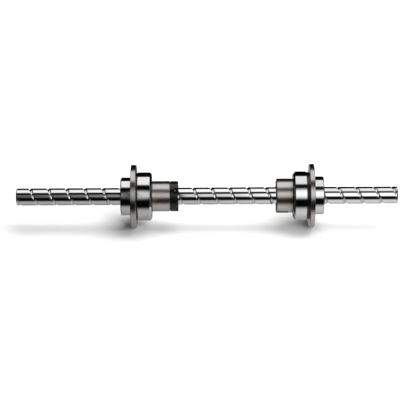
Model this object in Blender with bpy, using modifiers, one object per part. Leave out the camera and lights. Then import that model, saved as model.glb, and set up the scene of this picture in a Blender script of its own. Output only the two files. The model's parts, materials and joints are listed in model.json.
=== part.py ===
"""Ball screw assembly: one right-hand screw shaft and two bearing-mounted rotary nut units.

Frame: +X along the screw axis, +Z up, origin at the middle of the shaft on its axis. Metres.
Each unit is drawn from stations, which are distances from the shaft's middle, outwards.
Angles round the axis start at +Y and turn by the right-hand rule about +X.
"""

import bpy
import bmesh
from math import atan2, ceil, cos, pi, radians, sin, sqrt, tau
from mathutils import Matrix, Vector

# ---- driving dimensions -------------------------------------------------------------------

MM = 0.001
GAP = 0.3 * MM               # clearance kept between neighbouring solids
OVERRUN = 1.0 * MM           # how far a cutter runs past the face it cuts

SHAFT_LENGTH = 421.0 * MM
SHAFT_R = 9.5 * MM
SHAFT_CHAMFER = 0.8 * MM
CENTRE_HOLE_R = 1.1 * MM
CENTRE_MOUTH_R = 2.7 * MM
CENTRE_HOLE_DEPTH = 4.0 * MM

LEAD = 20.0 * MM
GROOVE_R = 1.85 * MM         # radius of the ball groove's section
BALL_CIRCLE_R = 10.1 * MM    # radius of the helix on which the ball centres run
BALL_R = 1.4 * MM
BALL_PITCH = 4.4 * MM
SPACER_R = 0.35 * MM         # strand that keeps the balls of a train apart
GROOVE_START = 0.24 * MM     # X of the groove where it passes +Y
GROOVE_SEGMENTS = 3
TURN_STEPS = 14              # facets in one turn of the thread

NUT_BORE_R = 9.95 * MM
RETURN_HOLE_R = 1.85 * MM
RETURN_CIRCLE_R = 14.15 * MM
RETURN_ANGLE = 269.0         # degrees, where the return hole lies in the nut's wall
CIRCUIT_TURNS = 1.5

FLANGE_R = 35.0 * MM
FLANGE_CHAMFER = 0.5 * MM
PILOT_R = 26.7 * MM
PILOT_CHAMFER = 1.9 * MM
RELIEF_DEPTH = 0.8 * MM      # undercut between the pilot and the flange
RELIEF_RAMP = 0.4 * MM
CORNER_DEPTH = 0.3 * MM      # the undercut's bite into the flange's mounting face
CORNER_REACH = 0.1 * MM
COLLAR_R = 21.1 * MM
COLLAR_CHAMFER = 1.0 * MM
JOURNAL_R = 20.9 * MM
JOURNAL_CHAMFER = 0.4 * MM
TAIL_CHAMFER = 0.9 * MM
TAIL_NECK_DEPTH = 0.5 * MM   # run-out groove where the tail meets the bearing
RING_BORE_R = 23.3 * MM
SEAT_R = 24.4 * MM           # counterbores in the ring, one for each bearing seal
SEAL_WIDTH = 2.0 * MM
SEAL_LIP_GAP = 0.5 * MM

ROW_CIRCLE_R = 22.1 * MM     # circle on which a bearing row's ball centres run
ROW_BALL_R = 1.85 * MM
RACEWAY_R = 2.15 * MM
ROW_BALLS = 10
ROW_INSET = 6.6 * MM         # from the ring's end to the bearing row beside it
CAGE_WIDTH = 2.2 * MM
CAGE_THICKNESS = 0.9 * MM
RACEWAY_SEGMENTS = 3

CAP_SEAT_R = 15.9 * MM       # counterbore in the collar for its end cap
CAP_SEAT_DEPTH = 7.0 * MM
CAP_SINK = 0.8 * MM          # how far the cap lies below the collar's face
CAP_EDGE = 0.4 * MM
CAP_BORE_R = 10.05 * MM
WIPER_R = 11.8 * MM
WIPER_WIDTH = 2.2 * MM
WIPER_BORE_R = 9.9 * MM      # clears the shaft's crests
SCOOP_DEPTH = 2.2 * MM       # ball passage in a cap's inner face
SCOOP_REACH = 3.0 * MM       # from the return hole's centre to the passage's outer wall

FLANGE_HOLES = 6
FLANGE_HOLE_R = 2.25 * MM
FLANGE_HOLE_CIRCLE_R = 31.0 * MM
PULLEY_HOLES = 4
PULLEY_HOLE_R = 1.65 * MM
PULLEY_HOLE_CIRCLE_R = 18.0 * MM
PULLEY_HOLE_DEPTH = 8.0 * MM

SCREW_HEAD_HEIGHT = 1.6 * MM
SCREW_HEAD_SINK = 0.3 * MM   # how far the heads lie below the faces they are driven from
SCREW_SHANK_R = 0.9 * MM
SCREW_SOCKET_R = 0.6 * MM
SCREW_SOCKET_DEPTH = 1.0 * MM
SCREW_REACH = 5.0 * MM       # how far a cap screw enters the nut
SMALL_HEAD_R = 1.3 * MM
POCKET_HEAD_R = 1.9 * MM
CAP_SCREW_CIRCLE_R = 13.9 * MM

GREASE_HOLE_R = 1.6 * MM
GREASE_HOLE_DEPTH = 5.0 * MM
GREASE_ANGLE = 0.0
PLUG_SINK = 0.6 * MM
PLUG_SOCKET_R = 0.7 * MM
PLUG_SOCKET_DEPTH = 1.4 * MM

LEFT = {
    "name": "left",
    "side": -1,
    "collar_face": 95.1 * MM,
    "flange_outer": 83.6 * MM,
    "flange_inner": 77.8 * MM,
    "relief_end": 76.0 * MM,
    "ring_end": 60.9 * MM,
    "tail_end": 40.7 * MM,
    "cap_end": 31.7 * MM,
    "tail_r": 16.85 * MM,
}
RIGHT = {
    "name": "right",
    "side": 1,
    "collar_face": 128.8 * MM,
    "flange_outer": 118.1 * MM,
    "flange_inner": 112.7 * MM,
    "relief_end": 109.4 * MM,
    "ring_end": 95.1 * MM,
    "tail_end": 76.2 * MM,
    "cap_end": 76.2 * MM,
    "tail_r": 19.0 * MM,
}

# The left unit's exposed cap
EXPOSED_CAP_R = 16.75 * MM
CAP_POCKET_ANGLE = 134.0     # first screw pocket; the others follow at equal steps
CAP_POCKETS = 4
CAP_POCKET_WIDTH = 7.0 * MM
CAP_POCKET_DEPTH = 4.2 * MM
CAP_POCKET_FLOOR_R = 12.5 * MM
POCKET_HEIGHT = 8.0 * MM     # of the pocket's cutter, out past the cap
POCKET_SCREW_CIRCLE_R = 14.5 * MM

# The right unit's recessed cap, with lugs in notches of the tail
RECESSED_CAP_R = 16.2 * MM
RECESSED_CAP_DEPTH = 7.0 * MM
RECESSED_CAP_SINK = 0.5 * MM
LUG_ANGLE = 230.0
LUG_WIDTH = 8.0 * MM
LUG_LENGTH = 4.0 * MM
LUG_SINK = 0.2 * MM          # from the cap's free face back to a lug
LUG_FOOT = 1.6 * MM          # how deep a lug is rooted in the cap's rim
LUG_DROP = 0.9 * MM          # from the tail's surface down to a lug's top
NOTCH_HEIGHT = 8.0 * MM
NOTCH_OVERLAP = 1.2 * MM     # how far a notch reaches into the cap's seat
SLOT_LENGTH = 13.0 * MM
SLOT_DEPTH = 0.7 * MM
SLOT_HEIGHT = 4.0 * MM

FINE_STEPS = 28              # facets of the rings and nuts
PLAIN_STEPS = 20             # facets of small round pieces
HOLE_SIDES = 8
SOCKET_SIDES = 6
BALL_SEGMENTS = 6
BALL_RINGS = 4

# ---- collections and materials --------------------------------------------------------------


def clear_scene():
    for item in list(bpy.data.objects):
        bpy.data.objects.remove(item, do_unlink=True)


def new_collection(name):
    collection = bpy.data.collections.new(name)
    bpy.context.scene.collection.children.link(collection)
    return collection


def make_material(name, colour, roughness, metallic):
    material = bpy.data.materials.new(name)
    material.use_nodes = True
    shader = material.node_tree.nodes["Principled BSDF"]
    shader.inputs["Base Color"].default_value = (*colour, 1.0)
    shader.inputs["Roughness"].default_value = roughness
    shader.inputs["Metallic"].default_value = metallic
    material.diffuse_color = (*colour, 1.0)
    return material


def make_materials():
    return {
        "shaft": make_material("polished_shaft_steel", (0.80, 0.80, 0.82), 0.10, 1.0),
        "ring": make_material("ground_ring_steel", (0.66, 0.64, 0.63), 0.28, 1.0),
        "nut": make_material("satin_nut_steel", (0.62, 0.59, 0.57), 0.30, 1.0),
        "ball": make_material("bearing_ball_steel", (0.85, 0.85, 0.87), 0.08, 1.0),
        "cap": make_material("black_cap_plastic", (0.02, 0.02, 0.022), 0.38, 0.0),
        "seal": make_material("black_seal_rubber", (0.03, 0.03, 0.03), 0.60, 0.0),
        "wiper": make_material("felt_wiper", (0.55, 0.50, 0.42), 0.90, 0.0),
        "screw": make_material("brass_screw", (0.72, 0.45, 0.20), 0.30, 1.0),
    }


# ---- modelling helpers ----------------------------------------------------------------------


def link_mesh(name, mesh, collection, material=None):
    item = bpy.data.objects.new(name, mesh)
    collection.objects.link(item)
    if material:
        mesh.materials.append(material)
    return item


def finished_mesh(item):
    """The object's mesh with its modifiers applied."""
    depsgraph = bpy.context.evaluated_depsgraph_get()
    depsgraph.update()
    return bpy.data.meshes.new_from_object(item.evaluated_get(depsgraph))


def bake(item):
    """Applies the modifiers, so that the object can be cut or joined further."""
    mesh = finished_mesh(item)
    item.modifiers.clear()
    item.data = mesh
    return item


def shade(item, angle=35.0):
    item.data.shade_smooth()
    item.data.set_sharp_from_angle(angle=radians(angle))


def along_x(item, x=0.0):
    """Turns a piece made about local Z so that its Z runs along +X."""
    item.rotation_euler = (0.0, pi / 2, 0.0)
    item.location = (x, 0.0, 0.0)
    return item


def signed_area(outline):
    total = 0.0
    for (z0, r0), (z1, r1) in zip(outline, outline[1:] + outline[:1]):
        total += z0 * r1 - z1 * r0
    return total / 2


def turned(name, outline, collection, material, steps=FINE_STEPS, closed=True, origin=0.0):
    """A turned piece: outline is (x, radius) points round the section, spun about the X axis.

    A closed outline makes a ring. An open one starts and ends on the axis.
    """
    points = [(x - origin, r) for x, r in outline]
    if signed_area(points) < 0:
        points.reverse()
    bm = bmesh.new()
    verts = [bm.verts.new((r, 0.0, z)) for z, r in points]
    for start, end in zip(verts, verts[1:]):
        bm.edges.new((start, end))
    if closed:
        bm.edges.new((verts[-1], verts[0]))
    mesh = bpy.data.meshes.new(name)
    bm.to_mesh(mesh)
    bm.free()
    item = link_mesh(name, mesh, collection, material)
    screw = item.modifiers.new("turn", "SCREW")
    screw.axis = "Z"
    screw.angle = tau
    screw.steps = steps
    screw.render_steps = steps
    screw.use_merge_vertices = True
    screw.merge_threshold = 0.00001
    return along_x(item, origin)


def cutter_cylinder(name, radius, start, end, collection, sides=HOLE_SIDES):
    """A round cutter from one point to another."""
    run = Vector(end) - Vector(start)
    bm = bmesh.new()
    bmesh.ops.create_cone(bm, cap_ends=True, segments=sides, radius1=radius, radius2=radius,
                          depth=run.length)
    mesh = bpy.data.meshes.new(name)
    bm.to_mesh(mesh)
    bm.free()
    item = link_mesh(name, mesh, collection)
    item.location = (Vector(start) + Vector(end)) / 2
    item.rotation_euler = run.to_track_quat("Z", "Y").to_euler()
    return hide_cutter(item)


def cutter_box(name, centre, size, angle, collection):
    """A box cutter whose local Z points away from the axis at the given angle."""
    bm = bmesh.new()
    bmesh.ops.create_cube(bm, size=1.0, matrix=Matrix.Diagonal((*size, 1.0)))
    mesh = bpy.data.meshes.new(name)
    bm.to_mesh(mesh)
    bm.free()
    item = link_mesh(name, mesh, collection)
    x, radius = centre
    item.location = round_axis(x, radius, angle)
    item.rotation_euler = (radians(angle) - pi / 2, 0.0, 0.0)
    return hide_cutter(item)


def hide_cutter(item):
    item.hide_render = True
    item.display_type = "WIRE"
    return item


def boolean(item, cutter, operation="DIFFERENCE"):
    modifier = item.modifiers.new(cutter.name, "BOOLEAN")
    modifier.operation = operation
    modifier.solver = "EXACT"
    modifier.object = cutter
    return item


def round_axis(x, radius, angle):
    """The point at an angle in degrees round the X axis."""
    return Vector((x, radius * cos(radians(angle)), radius * sin(radians(angle))))


def arc(centre, radius, start, end, segments):
    """Points of an arc in the (x, radius) plane; angles in degrees from +x towards +radius."""
    points = []
    for step in range(segments + 1):
        angle = radians(start + (end - start) * step / segments)
        points.append((centre[0] + radius * cos(angle), centre[1] + radius * sin(angle)))
    return points


# ---- the screw and its balls ----------------------------------------------------------------


def groove_half_width():
    depth = BALL_CIRCLE_R - SHAFT_R
    lead_angle = atan2(LEAD, tau * BALL_CIRCLE_R)
    return sqrt(GROOVE_R ** 2 - depth ** 2) / cos(lead_angle)


def thread_profile():
    """One lead of the shaft's outline: the ball groove's arc and the land beside it."""
    half = groove_half_width()
    reach = sqrt(GROOVE_R ** 2 - (BALL_CIRCLE_R - SHAFT_R) ** 2)
    stretch = half / reach
    edge = atan2(SHAFT_R - BALL_CIRCLE_R, reach)
    points = []
    for step in range(GROOVE_SEGMENTS + 1):
        angle = edge - (pi + 2 * edge) * step / GROOVE_SEGMENTS
        points.append((GROOVE_R * cos(angle) * stretch, BALL_CIRCLE_R + GROOVE_R * sin(angle)))
    points.append((points[0][0] - LEAD, SHAFT_R))
    return points


def make_shaft(collection, cutters, material):
    """The threaded bar: the profile is carried along the helix, then trimmed to a turned blank."""
    turns = ceil(SHAFT_LENGTH / LEAD) + 3
    start = GROOVE_START - LEAD * (turns // 2)
    profile = thread_profile()
    bm = bmesh.new()
    verts = [bm.verts.new((r, 0.0, x)) for x, r in profile]
    for first, second in zip(verts, verts[1:]):
        bm.edges.new((first, second))
    mesh = bpy.data.meshes.new("thread")
    bm.to_mesh(mesh)
    bm.free()
    item = link_mesh("screw_shaft", mesh, collection, material)
    screw = item.modifiers.new("thread", "SCREW")
    screw.axis = "Z"
    screw.angle = tau
    screw.screw_offset = LEAD
    screw.iterations = turns
    screw.steps = TURN_STEPS
    screw.render_steps = TURN_STEPS
    # local X is world -Z after the piece is laid along X, so the profile starts a quarter turn
    # before +Y and the thread begins a quarter lead earlier
    along_x(item, start - LEAD / 4)
    bake(item)
    close_thread(item)
    blank = turned("shaft_blank", shaft_blank_outline(), cutters, None, PLAIN_STEPS, closed=False)
    boolean(item, hide_cutter(blank), "INTERSECT")
    bake(item)
    shade(item)


def close_thread(item):
    """Welds one turn to the next and closes the two ragged ends."""
    bm = bmesh.new()
    bm.from_mesh(item.data)
    bmesh.ops.remove_doubles(bm, verts=bm.verts, dist=0.00001)
    for plane_x, normal_x in ((-0.5, -1.0), (0.5, 1.0)):
        level = plane_x * (SHAFT_LENGTH + LEAD / 2) - item.location.x
        geometry = bm.verts[:] + bm.edges[:] + bm.faces[:]
        bmesh.ops.bisect_plane(bm, geom=geometry, plane_co=(0.0, 0.0, level),
                               plane_no=(0.0, 0.0, normal_x), clear_outer=True, dist=0.000001)
        rim = [edge for edge in bm.edges if edge.is_boundary and
               all(abs(vert.co.z - level) < 0.00001 for vert in edge.verts)]
        bmesh.ops.edgeloop_fill(bm, edges=rim)
    bmesh.ops.recalc_face_normals(bm, faces=bm.faces)
    bm.to_mesh(item.data)
    bm.free()


def shaft_blank_outline():
    """Half section of the blank: centre holes, end faces and chamfers, a little over size."""
    end = SHAFT_LENGTH / 2
    over = SHAFT_R + OVERRUN
    run = SHAFT_CHAMFER + OVERRUN
    half = [
        (end - CENTRE_HOLE_DEPTH, 0.0),
        (end - CENTRE_HOLE_DEPTH + CENTRE_MOUTH_R - CENTRE_HOLE_R, CENTRE_HOLE_R),
        (end - CENTRE_MOUTH_R + CENTRE_HOLE_R, CENTRE_HOLE_R),
        (end, CENTRE_MOUTH_R),
        (end, over - run),
        (end - run, over),
    ]
    return half + [(-x, r) for x, r in reversed(half)]


def helix_point(x, radius):
    """The point of the ball track at a place along the shaft."""
    angle = (x - GROOVE_START) / LEAD * 360.0
    return round_axis(x, radius, angle)


def poly_tube(name, points, radius, collection, resolution=0):
    """A closed tube along the points, as a mesh."""
    curve = bpy.data.curves.new(name, "CURVE")
    curve.dimensions = "3D"
    curve.bevel_depth = radius
    curve.bevel_resolution = resolution
    curve.use_fill_caps = True
    spline = curve.splines.new("POLY")
    spline.points.add(len(points) - 1)
    for target, point in zip(spline.points, points):
        target.co = (*point, 1.0)
    wire = bpy.data.objects.new(name + "_curve", curve)
    collection.objects.link(wire)
    mesh = finished_mesh(wire)
    bpy.data.objects.remove(wire, do_unlink=True)
    bm = bmesh.new()
    bm.from_mesh(mesh)
    bmesh.ops.remove_doubles(bm, verts=bm.verts, dist=0.000001)
    bmesh.ops.recalc_face_normals(bm, faces=bm.faces)
    bm.to_mesh(mesh)
    bm.free()
    return link_mesh(name, mesh, collection)


def ball_cluster(name, centres, radius, collection):
    """Separate balls in one mesh, ready to be joined to what carries them."""
    bm = bmesh.new()
    for centre in centres:
        bmesh.ops.create_uvsphere(bm, u_segments=BALL_SEGMENTS, v_segments=BALL_RINGS,
                                  radius=radius, matrix=Matrix.Translation(centre))
    mesh = bpy.data.meshes.new(name)
    bm.to_mesh(mesh)
    bm.free()
    return hide_cutter(link_mesh(name, mesh, collection))


def ball_train(name, centres, collection, cutters, material):
    """A train of recirculating balls, held in line by a thin spacer strand."""
    item = poly_tube(name, centres, SPACER_R, collection)
    item.data.materials.clear()
    item.data.materials.append(material)
    boolean(item, ball_cluster(name + "_balls", centres, BALL_R, cutters), "UNION")
    bake(item)
    shade(item)


def is_recessed(unit):
    """Whether the tail's end cap is sunk in the tail, and not standing out from it."""
    return unit["cap_end"] == unit["tail_end"]


def circuit_span(unit):
    """Lowest and highest X of the loaded balls in a unit."""
    nut_low = unit["tail_end"] + (RECESSED_CAP_DEPTH if is_recessed(unit) else 0.0)
    nut_high = unit["collar_face"] - CAP_SEAT_DEPTH
    middle = unit["side"] * (nut_low + nut_high) / 2
    half = LEAD * CIRCUIT_TURNS / 2
    return middle - half, middle + half


def make_loaded_balls(unit, collection, cutters, material):
    low, high = circuit_span(unit)
    turn_length = sqrt((tau * BALL_CIRCLE_R) ** 2 + LEAD ** 2)
    count = int((high - low) / LEAD * turn_length / BALL_PITCH)
    inset = LEAD * BALL_PITCH / turn_length / 2
    centres = []
    for index in range(count):
        x = low + inset + (high - low - 2 * inset) * index / (count - 1)
        centres.append(helix_point(x, BALL_CIRCLE_R))
    ball_train(unit["name"] + "_loaded_balls", centres, collection, cutters, material)


def return_span(unit):
    """X of the return hole's two ends, where the end caps turn the balls round."""
    side = unit["side"]
    tail = unit["tail_end"] + (RECESSED_CAP_DEPTH if is_recessed(unit) else 0.0)
    return side * tail, side * (unit["collar_face"] - CAP_SEAT_DEPTH)


def make_return_balls(unit, collection, cutters, material):
    start, end = sorted(return_span(unit))
    inset = BALL_R + GAP
    count = int((end - start - 2 * inset) / BALL_PITCH)
    centres = []
    for index in range(count):
        x = start + inset + (end - start - 2 * inset) * index / (count - 1)
        centres.append(round_axis(x, RETURN_CIRCLE_R, RETURN_ANGLE))
    ball_train(unit["name"] + "_return_balls", centres, collection, cutters, material)


# ---- the bearing: flange ring, seals, cages ---------------------------------------------------


def row_stations(unit):
    """Stations of the two bearing rows: beside the collar, and beside the tail."""
    return unit["flange_outer"] - ROW_INSET, unit["ring_end"] + ROW_INSET


def raceway(station, wall_r, outward):
    """Section of a raceway cut into a wall, from the tail side to the collar side."""
    depth = abs(ROW_CIRCLE_R - wall_r)
    half = sqrt(RACEWAY_R ** 2 - depth ** 2)
    edge = atan2(depth, half) / pi * 180.0
    start, end = (180.0 - edge, edge) if outward else (180.0 + edge, 360.0 - edge)
    return arc((station, ROW_CIRCLE_R), RACEWAY_R, start, end, RACEWAY_SEGMENTS)


def make_flange_ring(unit, collection, cutters, material):
    """The bearing's outer ring: flange, pilot, seal seats and raceways.

    The corner undercut lets the housing's bore pass over the pilot and seat on the flange.
    """
    side = unit["side"]
    outer, inner = unit["flange_outer"], unit["flange_inner"]
    relief, end = unit["relief_end"], unit["ring_end"]
    outer_row, inner_row = row_stations(unit)
    outline = [
        (end, SEAT_R),
        (end, PILOT_R - PILOT_CHAMFER),
        (end + PILOT_CHAMFER, PILOT_R),
        (relief, PILOT_R),
        (relief + RELIEF_RAMP, PILOT_R - RELIEF_DEPTH),
        (inner + CORNER_DEPTH, PILOT_R - RELIEF_DEPTH),
        (inner + CORNER_DEPTH, PILOT_R + CORNER_REACH),
        (inner, PILOT_R + CORNER_REACH),
        (inner, FLANGE_R - FLANGE_CHAMFER),
        (inner + FLANGE_CHAMFER, FLANGE_R),
        (outer - FLANGE_CHAMFER, FLANGE_R),
        (outer, FLANGE_R - FLANGE_CHAMFER),
        (outer, SEAT_R),
        (outer - SEAL_WIDTH - GAP, SEAT_R),
        (outer - SEAL_WIDTH - GAP, RING_BORE_R),
    ]
    outline += reversed(raceway(outer_row, RING_BORE_R, True))
    outline += reversed(raceway(inner_row, RING_BORE_R, True))
    outline.append((end + SEAL_WIDTH + GAP, RING_BORE_R))
    outline.append((end + SEAL_WIDTH + GAP, SEAT_R))
    name = unit["name"] + "_flange_ring"
    world = [(side * d, r) for d, r in outline]
    item = turned(name, world, collection, material, origin=side * inner)
    for index in range(FLANGE_HOLES):
        angle = 360.0 * (index + 0.5) / FLANGE_HOLES
        start = round_axis(side * (inner - OVERRUN), FLANGE_HOLE_CIRCLE_R, angle)
        stop = round_axis(side * (outer + OVERRUN), FLANGE_HOLE_CIRCLE_R, angle)
        boolean(item, cutter_cylinder(f"{name}_hole_{index}", FLANGE_HOLE_R, start, stop, cutters))
    middle = side * (inner + outer) / 2
    boolean(item, cutter_cylinder(name + "_grease_hole", GREASE_HOLE_R,
                                  round_axis(middle, FLANGE_R - GREASE_HOLE_DEPTH, GREASE_ANGLE),
                                  round_axis(middle, FLANGE_R + OVERRUN, GREASE_ANGLE), cutters))
    bake(item)
    shade(item)


def make_grease_plug(unit, collection, cutters, material):
    """A set screw in the flange's rim that closes the grease hole."""
    middle = unit["side"] * (unit["flange_inner"] + unit["flange_outer"]) / 2
    name = unit["name"] + "_grease_plug"
    start = round_axis(middle, FLANGE_R - GREASE_HOLE_DEPTH + GAP, GREASE_ANGLE)
    stop = round_axis(middle, FLANGE_R - PLUG_SINK, GREASE_ANGLE)
    item = cutter_cylinder(name, GREASE_HOLE_R - GAP, start, stop, collection)
    item.hide_render = False
    item.display_type = "TEXTURED"
    item.data.materials.append(material)
    socket_start = round_axis(middle, FLANGE_R - PLUG_SINK - PLUG_SOCKET_DEPTH, GREASE_ANGLE)
    socket_stop = round_axis(middle, FLANGE_R + OVERRUN, GREASE_ANGLE)
    boolean(item, cutter_cylinder(name + "_socket", PLUG_SOCKET_R, socket_start, socket_stop,
                                  cutters, SOCKET_SIDES))
    bake(item)


def make_bearing_seals(unit, collection, material):
    """Rings pressed into the flange ring's two seats, whose lips stop short of the journal."""
    lip_r = JOURNAL_R + SEAL_LIP_GAP
    rim_r = SEAT_R - GAP
    places = (("outer", unit["flange_outer"] - SEAL_WIDTH), ("inner", unit["ring_end"]))
    for place, low in places:
        high = low + SEAL_WIDTH
        sign = 1 if place == "outer" else -1
        front, back = (high, low) if sign > 0 else (low, high)
        outline = [
            (back, rim_r),
            (front - sign * 0.2 * MM, rim_r),
            (front - sign * 0.2 * MM, lip_r + 1.2 * MM),
            (front - sign * 0.7 * MM, lip_r),
            (back, lip_r + 0.4 * MM),
        ]
        name = f"{unit['name']}_{place}_bearing_seal"
        world = [(unit["side"] * d, r) for d, r in outline]
        item = turned(name, world, collection, material, PLAIN_STEPS,
                      origin=unit["side"] * (low + high) / 2)
        bake(item)
        shade(item)


def make_ball_cages(unit, collection, cutters, material):
    """Each bearing row is a cage band with its balls."""
    for place, station in zip(("outer", "inner"), row_stations(unit)):
        name = f"{unit['name']}_{place}_ball_cage"
        x = unit["side"] * station
        half = CAGE_WIDTH / 2
        inner_r, outer_r = ROW_CIRCLE_R - CAGE_THICKNESS / 2, ROW_CIRCLE_R + CAGE_THICKNESS / 2
        band = [(x - half, inner_r), (x - half, outer_r), (x + half, outer_r), (x + half, inner_r)]
        item = turned(name, band, collection, material, PLAIN_STEPS, origin=x)
        centres = [round_axis(x, ROW_CIRCLE_R, 360.0 * index / ROW_BALLS)
                   for index in range(ROW_BALLS)]
        boolean(item, ball_cluster(name + "_balls", centres, ROW_BALL_R, cutters), "UNION")
        bake(item)
        shade(item)


# ---- the ball nut and what it carries ----------------------------------------------------------


def nut_outline(unit):
    """Section of the nut: collar, journal with two inner raceways, tail, bore and cap seats."""
    face, flange, end = unit["collar_face"], unit["flange_outer"], unit["ring_end"]
    tail, tail_r = unit["tail_end"], unit["tail_r"]
    recessed = is_recessed(unit)
    outer_row, inner_row = row_stations(unit)
    bore_end = tail + (RECESSED_CAP_DEPTH if recessed else 0.0)
    outline = [(bore_end, NUT_BORE_R)]
    if recessed:
        outline.append((bore_end, RECESSED_CAP_R))
        outline.append((tail, RECESSED_CAP_R))
    outline += [
        (tail, tail_r - TAIL_CHAMFER),
        (tail + TAIL_CHAMFER, tail_r),
        (end - 1.0 * MM, tail_r),
        (end - 0.4 * MM, tail_r - TAIL_NECK_DEPTH),
        (end + 0.2 * MM, tail_r - TAIL_NECK_DEPTH),
        (end + 0.2 * MM, JOURNAL_R - JOURNAL_CHAMFER),
        (end + 0.6 * MM, JOURNAL_R),
    ]
    outline += raceway(inner_row, JOURNAL_R, False)
    outline += raceway(outer_row, JOURNAL_R, False)
    outline += [
        (flange + 0.2 * MM, JOURNAL_R),
        (flange + 0.4 * MM, COLLAR_R - JOURNAL_CHAMFER),
        (flange + 0.8 * MM, COLLAR_R),
        (face - COLLAR_CHAMFER, COLLAR_R),
        (face, COLLAR_R - COLLAR_CHAMFER),
        (face, CAP_SEAT_R),
        (face - CAP_SEAT_DEPTH, CAP_SEAT_R),
        (face - CAP_SEAT_DEPTH, NUT_BORE_R),
    ]
    return outline


def make_ball_nut(unit, collection, cutters, material):
    side = unit["side"]
    name = unit["name"] + "_ball_nut"
    world = [(side * d, r) for d, r in nut_outline(unit)]
    item = turned(name, world, collection, material, origin=side * unit["ring_end"])
    low, high = circuit_span(unit)
    steps = ceil((high - low) / LEAD * TURN_STEPS)
    points = [helix_point(low + (high - low) * step / steps, BALL_CIRCLE_R)
              for step in range(steps + 1)]
    boolean(item, hide_cutter(poly_tube(name + "_track", points, GROOVE_R, cutters, 1)))
    start, end = sorted(return_span(unit))
    boolean(item, cutter_cylinder(name + "_return", RETURN_HOLE_R,
                                  round_axis(start - OVERRUN, RETURN_CIRCLE_R, RETURN_ANGLE),
                                  round_axis(end + OVERRUN, RETURN_CIRCLE_R, RETURN_ANGLE),
                                  cutters))
    face = side * unit["collar_face"]
    for index in range(PULLEY_HOLES):
        angle = 360.0 * (index + 0.5) / PULLEY_HOLES
        bottom = round_axis(face - side * PULLEY_HOLE_DEPTH, PULLEY_HOLE_CIRCLE_R, angle)
        mouth = round_axis(face + side * OVERRUN, PULLEY_HOLE_CIRCLE_R, angle)
        boolean(item, cutter_cylinder(f"{name}_pulley_hole_{index}", PULLEY_HOLE_R,
                                      bottom, mouth, cutters))
    tap_nut_for_screws(item, face - side * CAP_SEAT_DEPTH, -side, collar_screw_angles(),
                       CAP_SCREW_CIRCLE_R, cutters)
    if is_recessed(unit):
        tap_nut_for_screws(item, side * (unit["tail_end"] + RECESSED_CAP_DEPTH), side,
                           recessed_screw_angles(), CAP_SCREW_CIRCLE_R, cutters)
        cut_tail_slots(item, unit, cutters)
    else:
        tap_nut_for_screws(item, side * unit["tail_end"], side, pocket_angles(),
                           POCKET_SCREW_CIRCLE_R, cutters)
    bake(item)
    shade(item)


def cut_tail_slots(item, unit, cutters):
    """Notches for the cap's lugs, each carried on as a shallow milled slot."""
    side = unit["side"]
    end = side * unit["tail_end"]
    flat_r = unit["tail_r"] * cos(LUG_WIDTH / 2 / unit["tail_r"]) - SLOT_DEPTH
    notch = (2 * LUG_LENGTH, LUG_WIDTH + 2 * GAP, NOTCH_HEIGHT)
    notch_middle = (end, RECESSED_CAP_R - NOTCH_OVERLAP + NOTCH_HEIGHT / 2)
    slot = (2 * SLOT_LENGTH, LUG_WIDTH, SLOT_HEIGHT)
    slot_middle = (end, flat_r + SLOT_HEIGHT / 2)
    for index in range(2):
        angle = LUG_ANGLE + 180.0 * index
        boolean(item, cutter_box(f"{item.name}_notch_{index}", notch_middle, notch, angle, cutters))
        boolean(item, cutter_box(f"{item.name}_slot_{index}", slot_middle, slot, angle, cutters))


def cap_ring_outline(low, high, outer_r, wiper_low, wiper_high):
    """Section of an end cap ring from low to high, with a seat for its wiper in the bore."""
    seat_r = WIPER_R + GAP
    rim = [
        (low, outer_r - CAP_EDGE),
        (low + CAP_EDGE, outer_r),
        (high - CAP_EDGE, outer_r),
        (high, outer_r - CAP_EDGE),
    ]
    if wiper_high >= high:
        step = wiper_low - GAP
        return rim + [(high, seat_r), (step, seat_r), (step, CAP_BORE_R), (low, CAP_BORE_R)]
    step = wiper_high + GAP
    return rim + [(high, CAP_BORE_R), (step, CAP_BORE_R), (step, seat_r), (low, seat_r)]


def make_collar_cap(unit, collection, cutters, materials):
    """The return cap in the collar's counterbore, with its wiper and two screws."""
    side, face = unit["side"], unit["collar_face"]
    low, high = face - CAP_SEAT_DEPTH + GAP, face - CAP_SINK
    outline = cap_ring_outline(low, high, CAP_SEAT_R - GAP, high - WIPER_WIDTH, high)
    name = unit["name"] + "_collar_end_cap"
    item = turned(name, [(side * d, r) for d, r in outline], collection, materials["cap"],
                  PLAIN_STEPS, origin=side * low)
    cut_return_scoop(item, side * low, side, cutters)
    for index, angle in enumerate(collar_screw_angles()):
        drill_for_screw(item, side * high, -side, angle, high - low, cutters)
        add_screw(f"{unit['name']}_collar_cap_screw_{index + 1}",
                  side * (high - SCREW_HEAD_SINK), -side, angle, CAP_SCREW_CIRCLE_R,
                  SMALL_HEAD_R, high - low + SCREW_REACH, collection, cutters, materials["screw"])
    bake(item)
    shade(item)
    make_wiper(unit, "collar", high - WIPER_WIDTH, high, collection, materials["wiper"])


def collar_screw_angles():
    return RETURN_ANGLE + 90.0, RETURN_ANGLE + 270.0


def cut_return_scoop(item, face_x, into, cutters):
    """The passage in a cap's inner face that leads the balls from the thread to the return hole."""
    inner_r, outer_r = NUT_BORE_R - 2 * OVERRUN, RETURN_CIRCLE_R + SCOOP_REACH
    size = (2 * SCOOP_DEPTH, 2 * RETURN_HOLE_R, outer_r - inner_r)
    middle = (face_x, (inner_r + outer_r) / 2)
    boolean(item, cutter_box(item.name + "_scoop", middle, size, RETURN_ANGLE, cutters))


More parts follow.
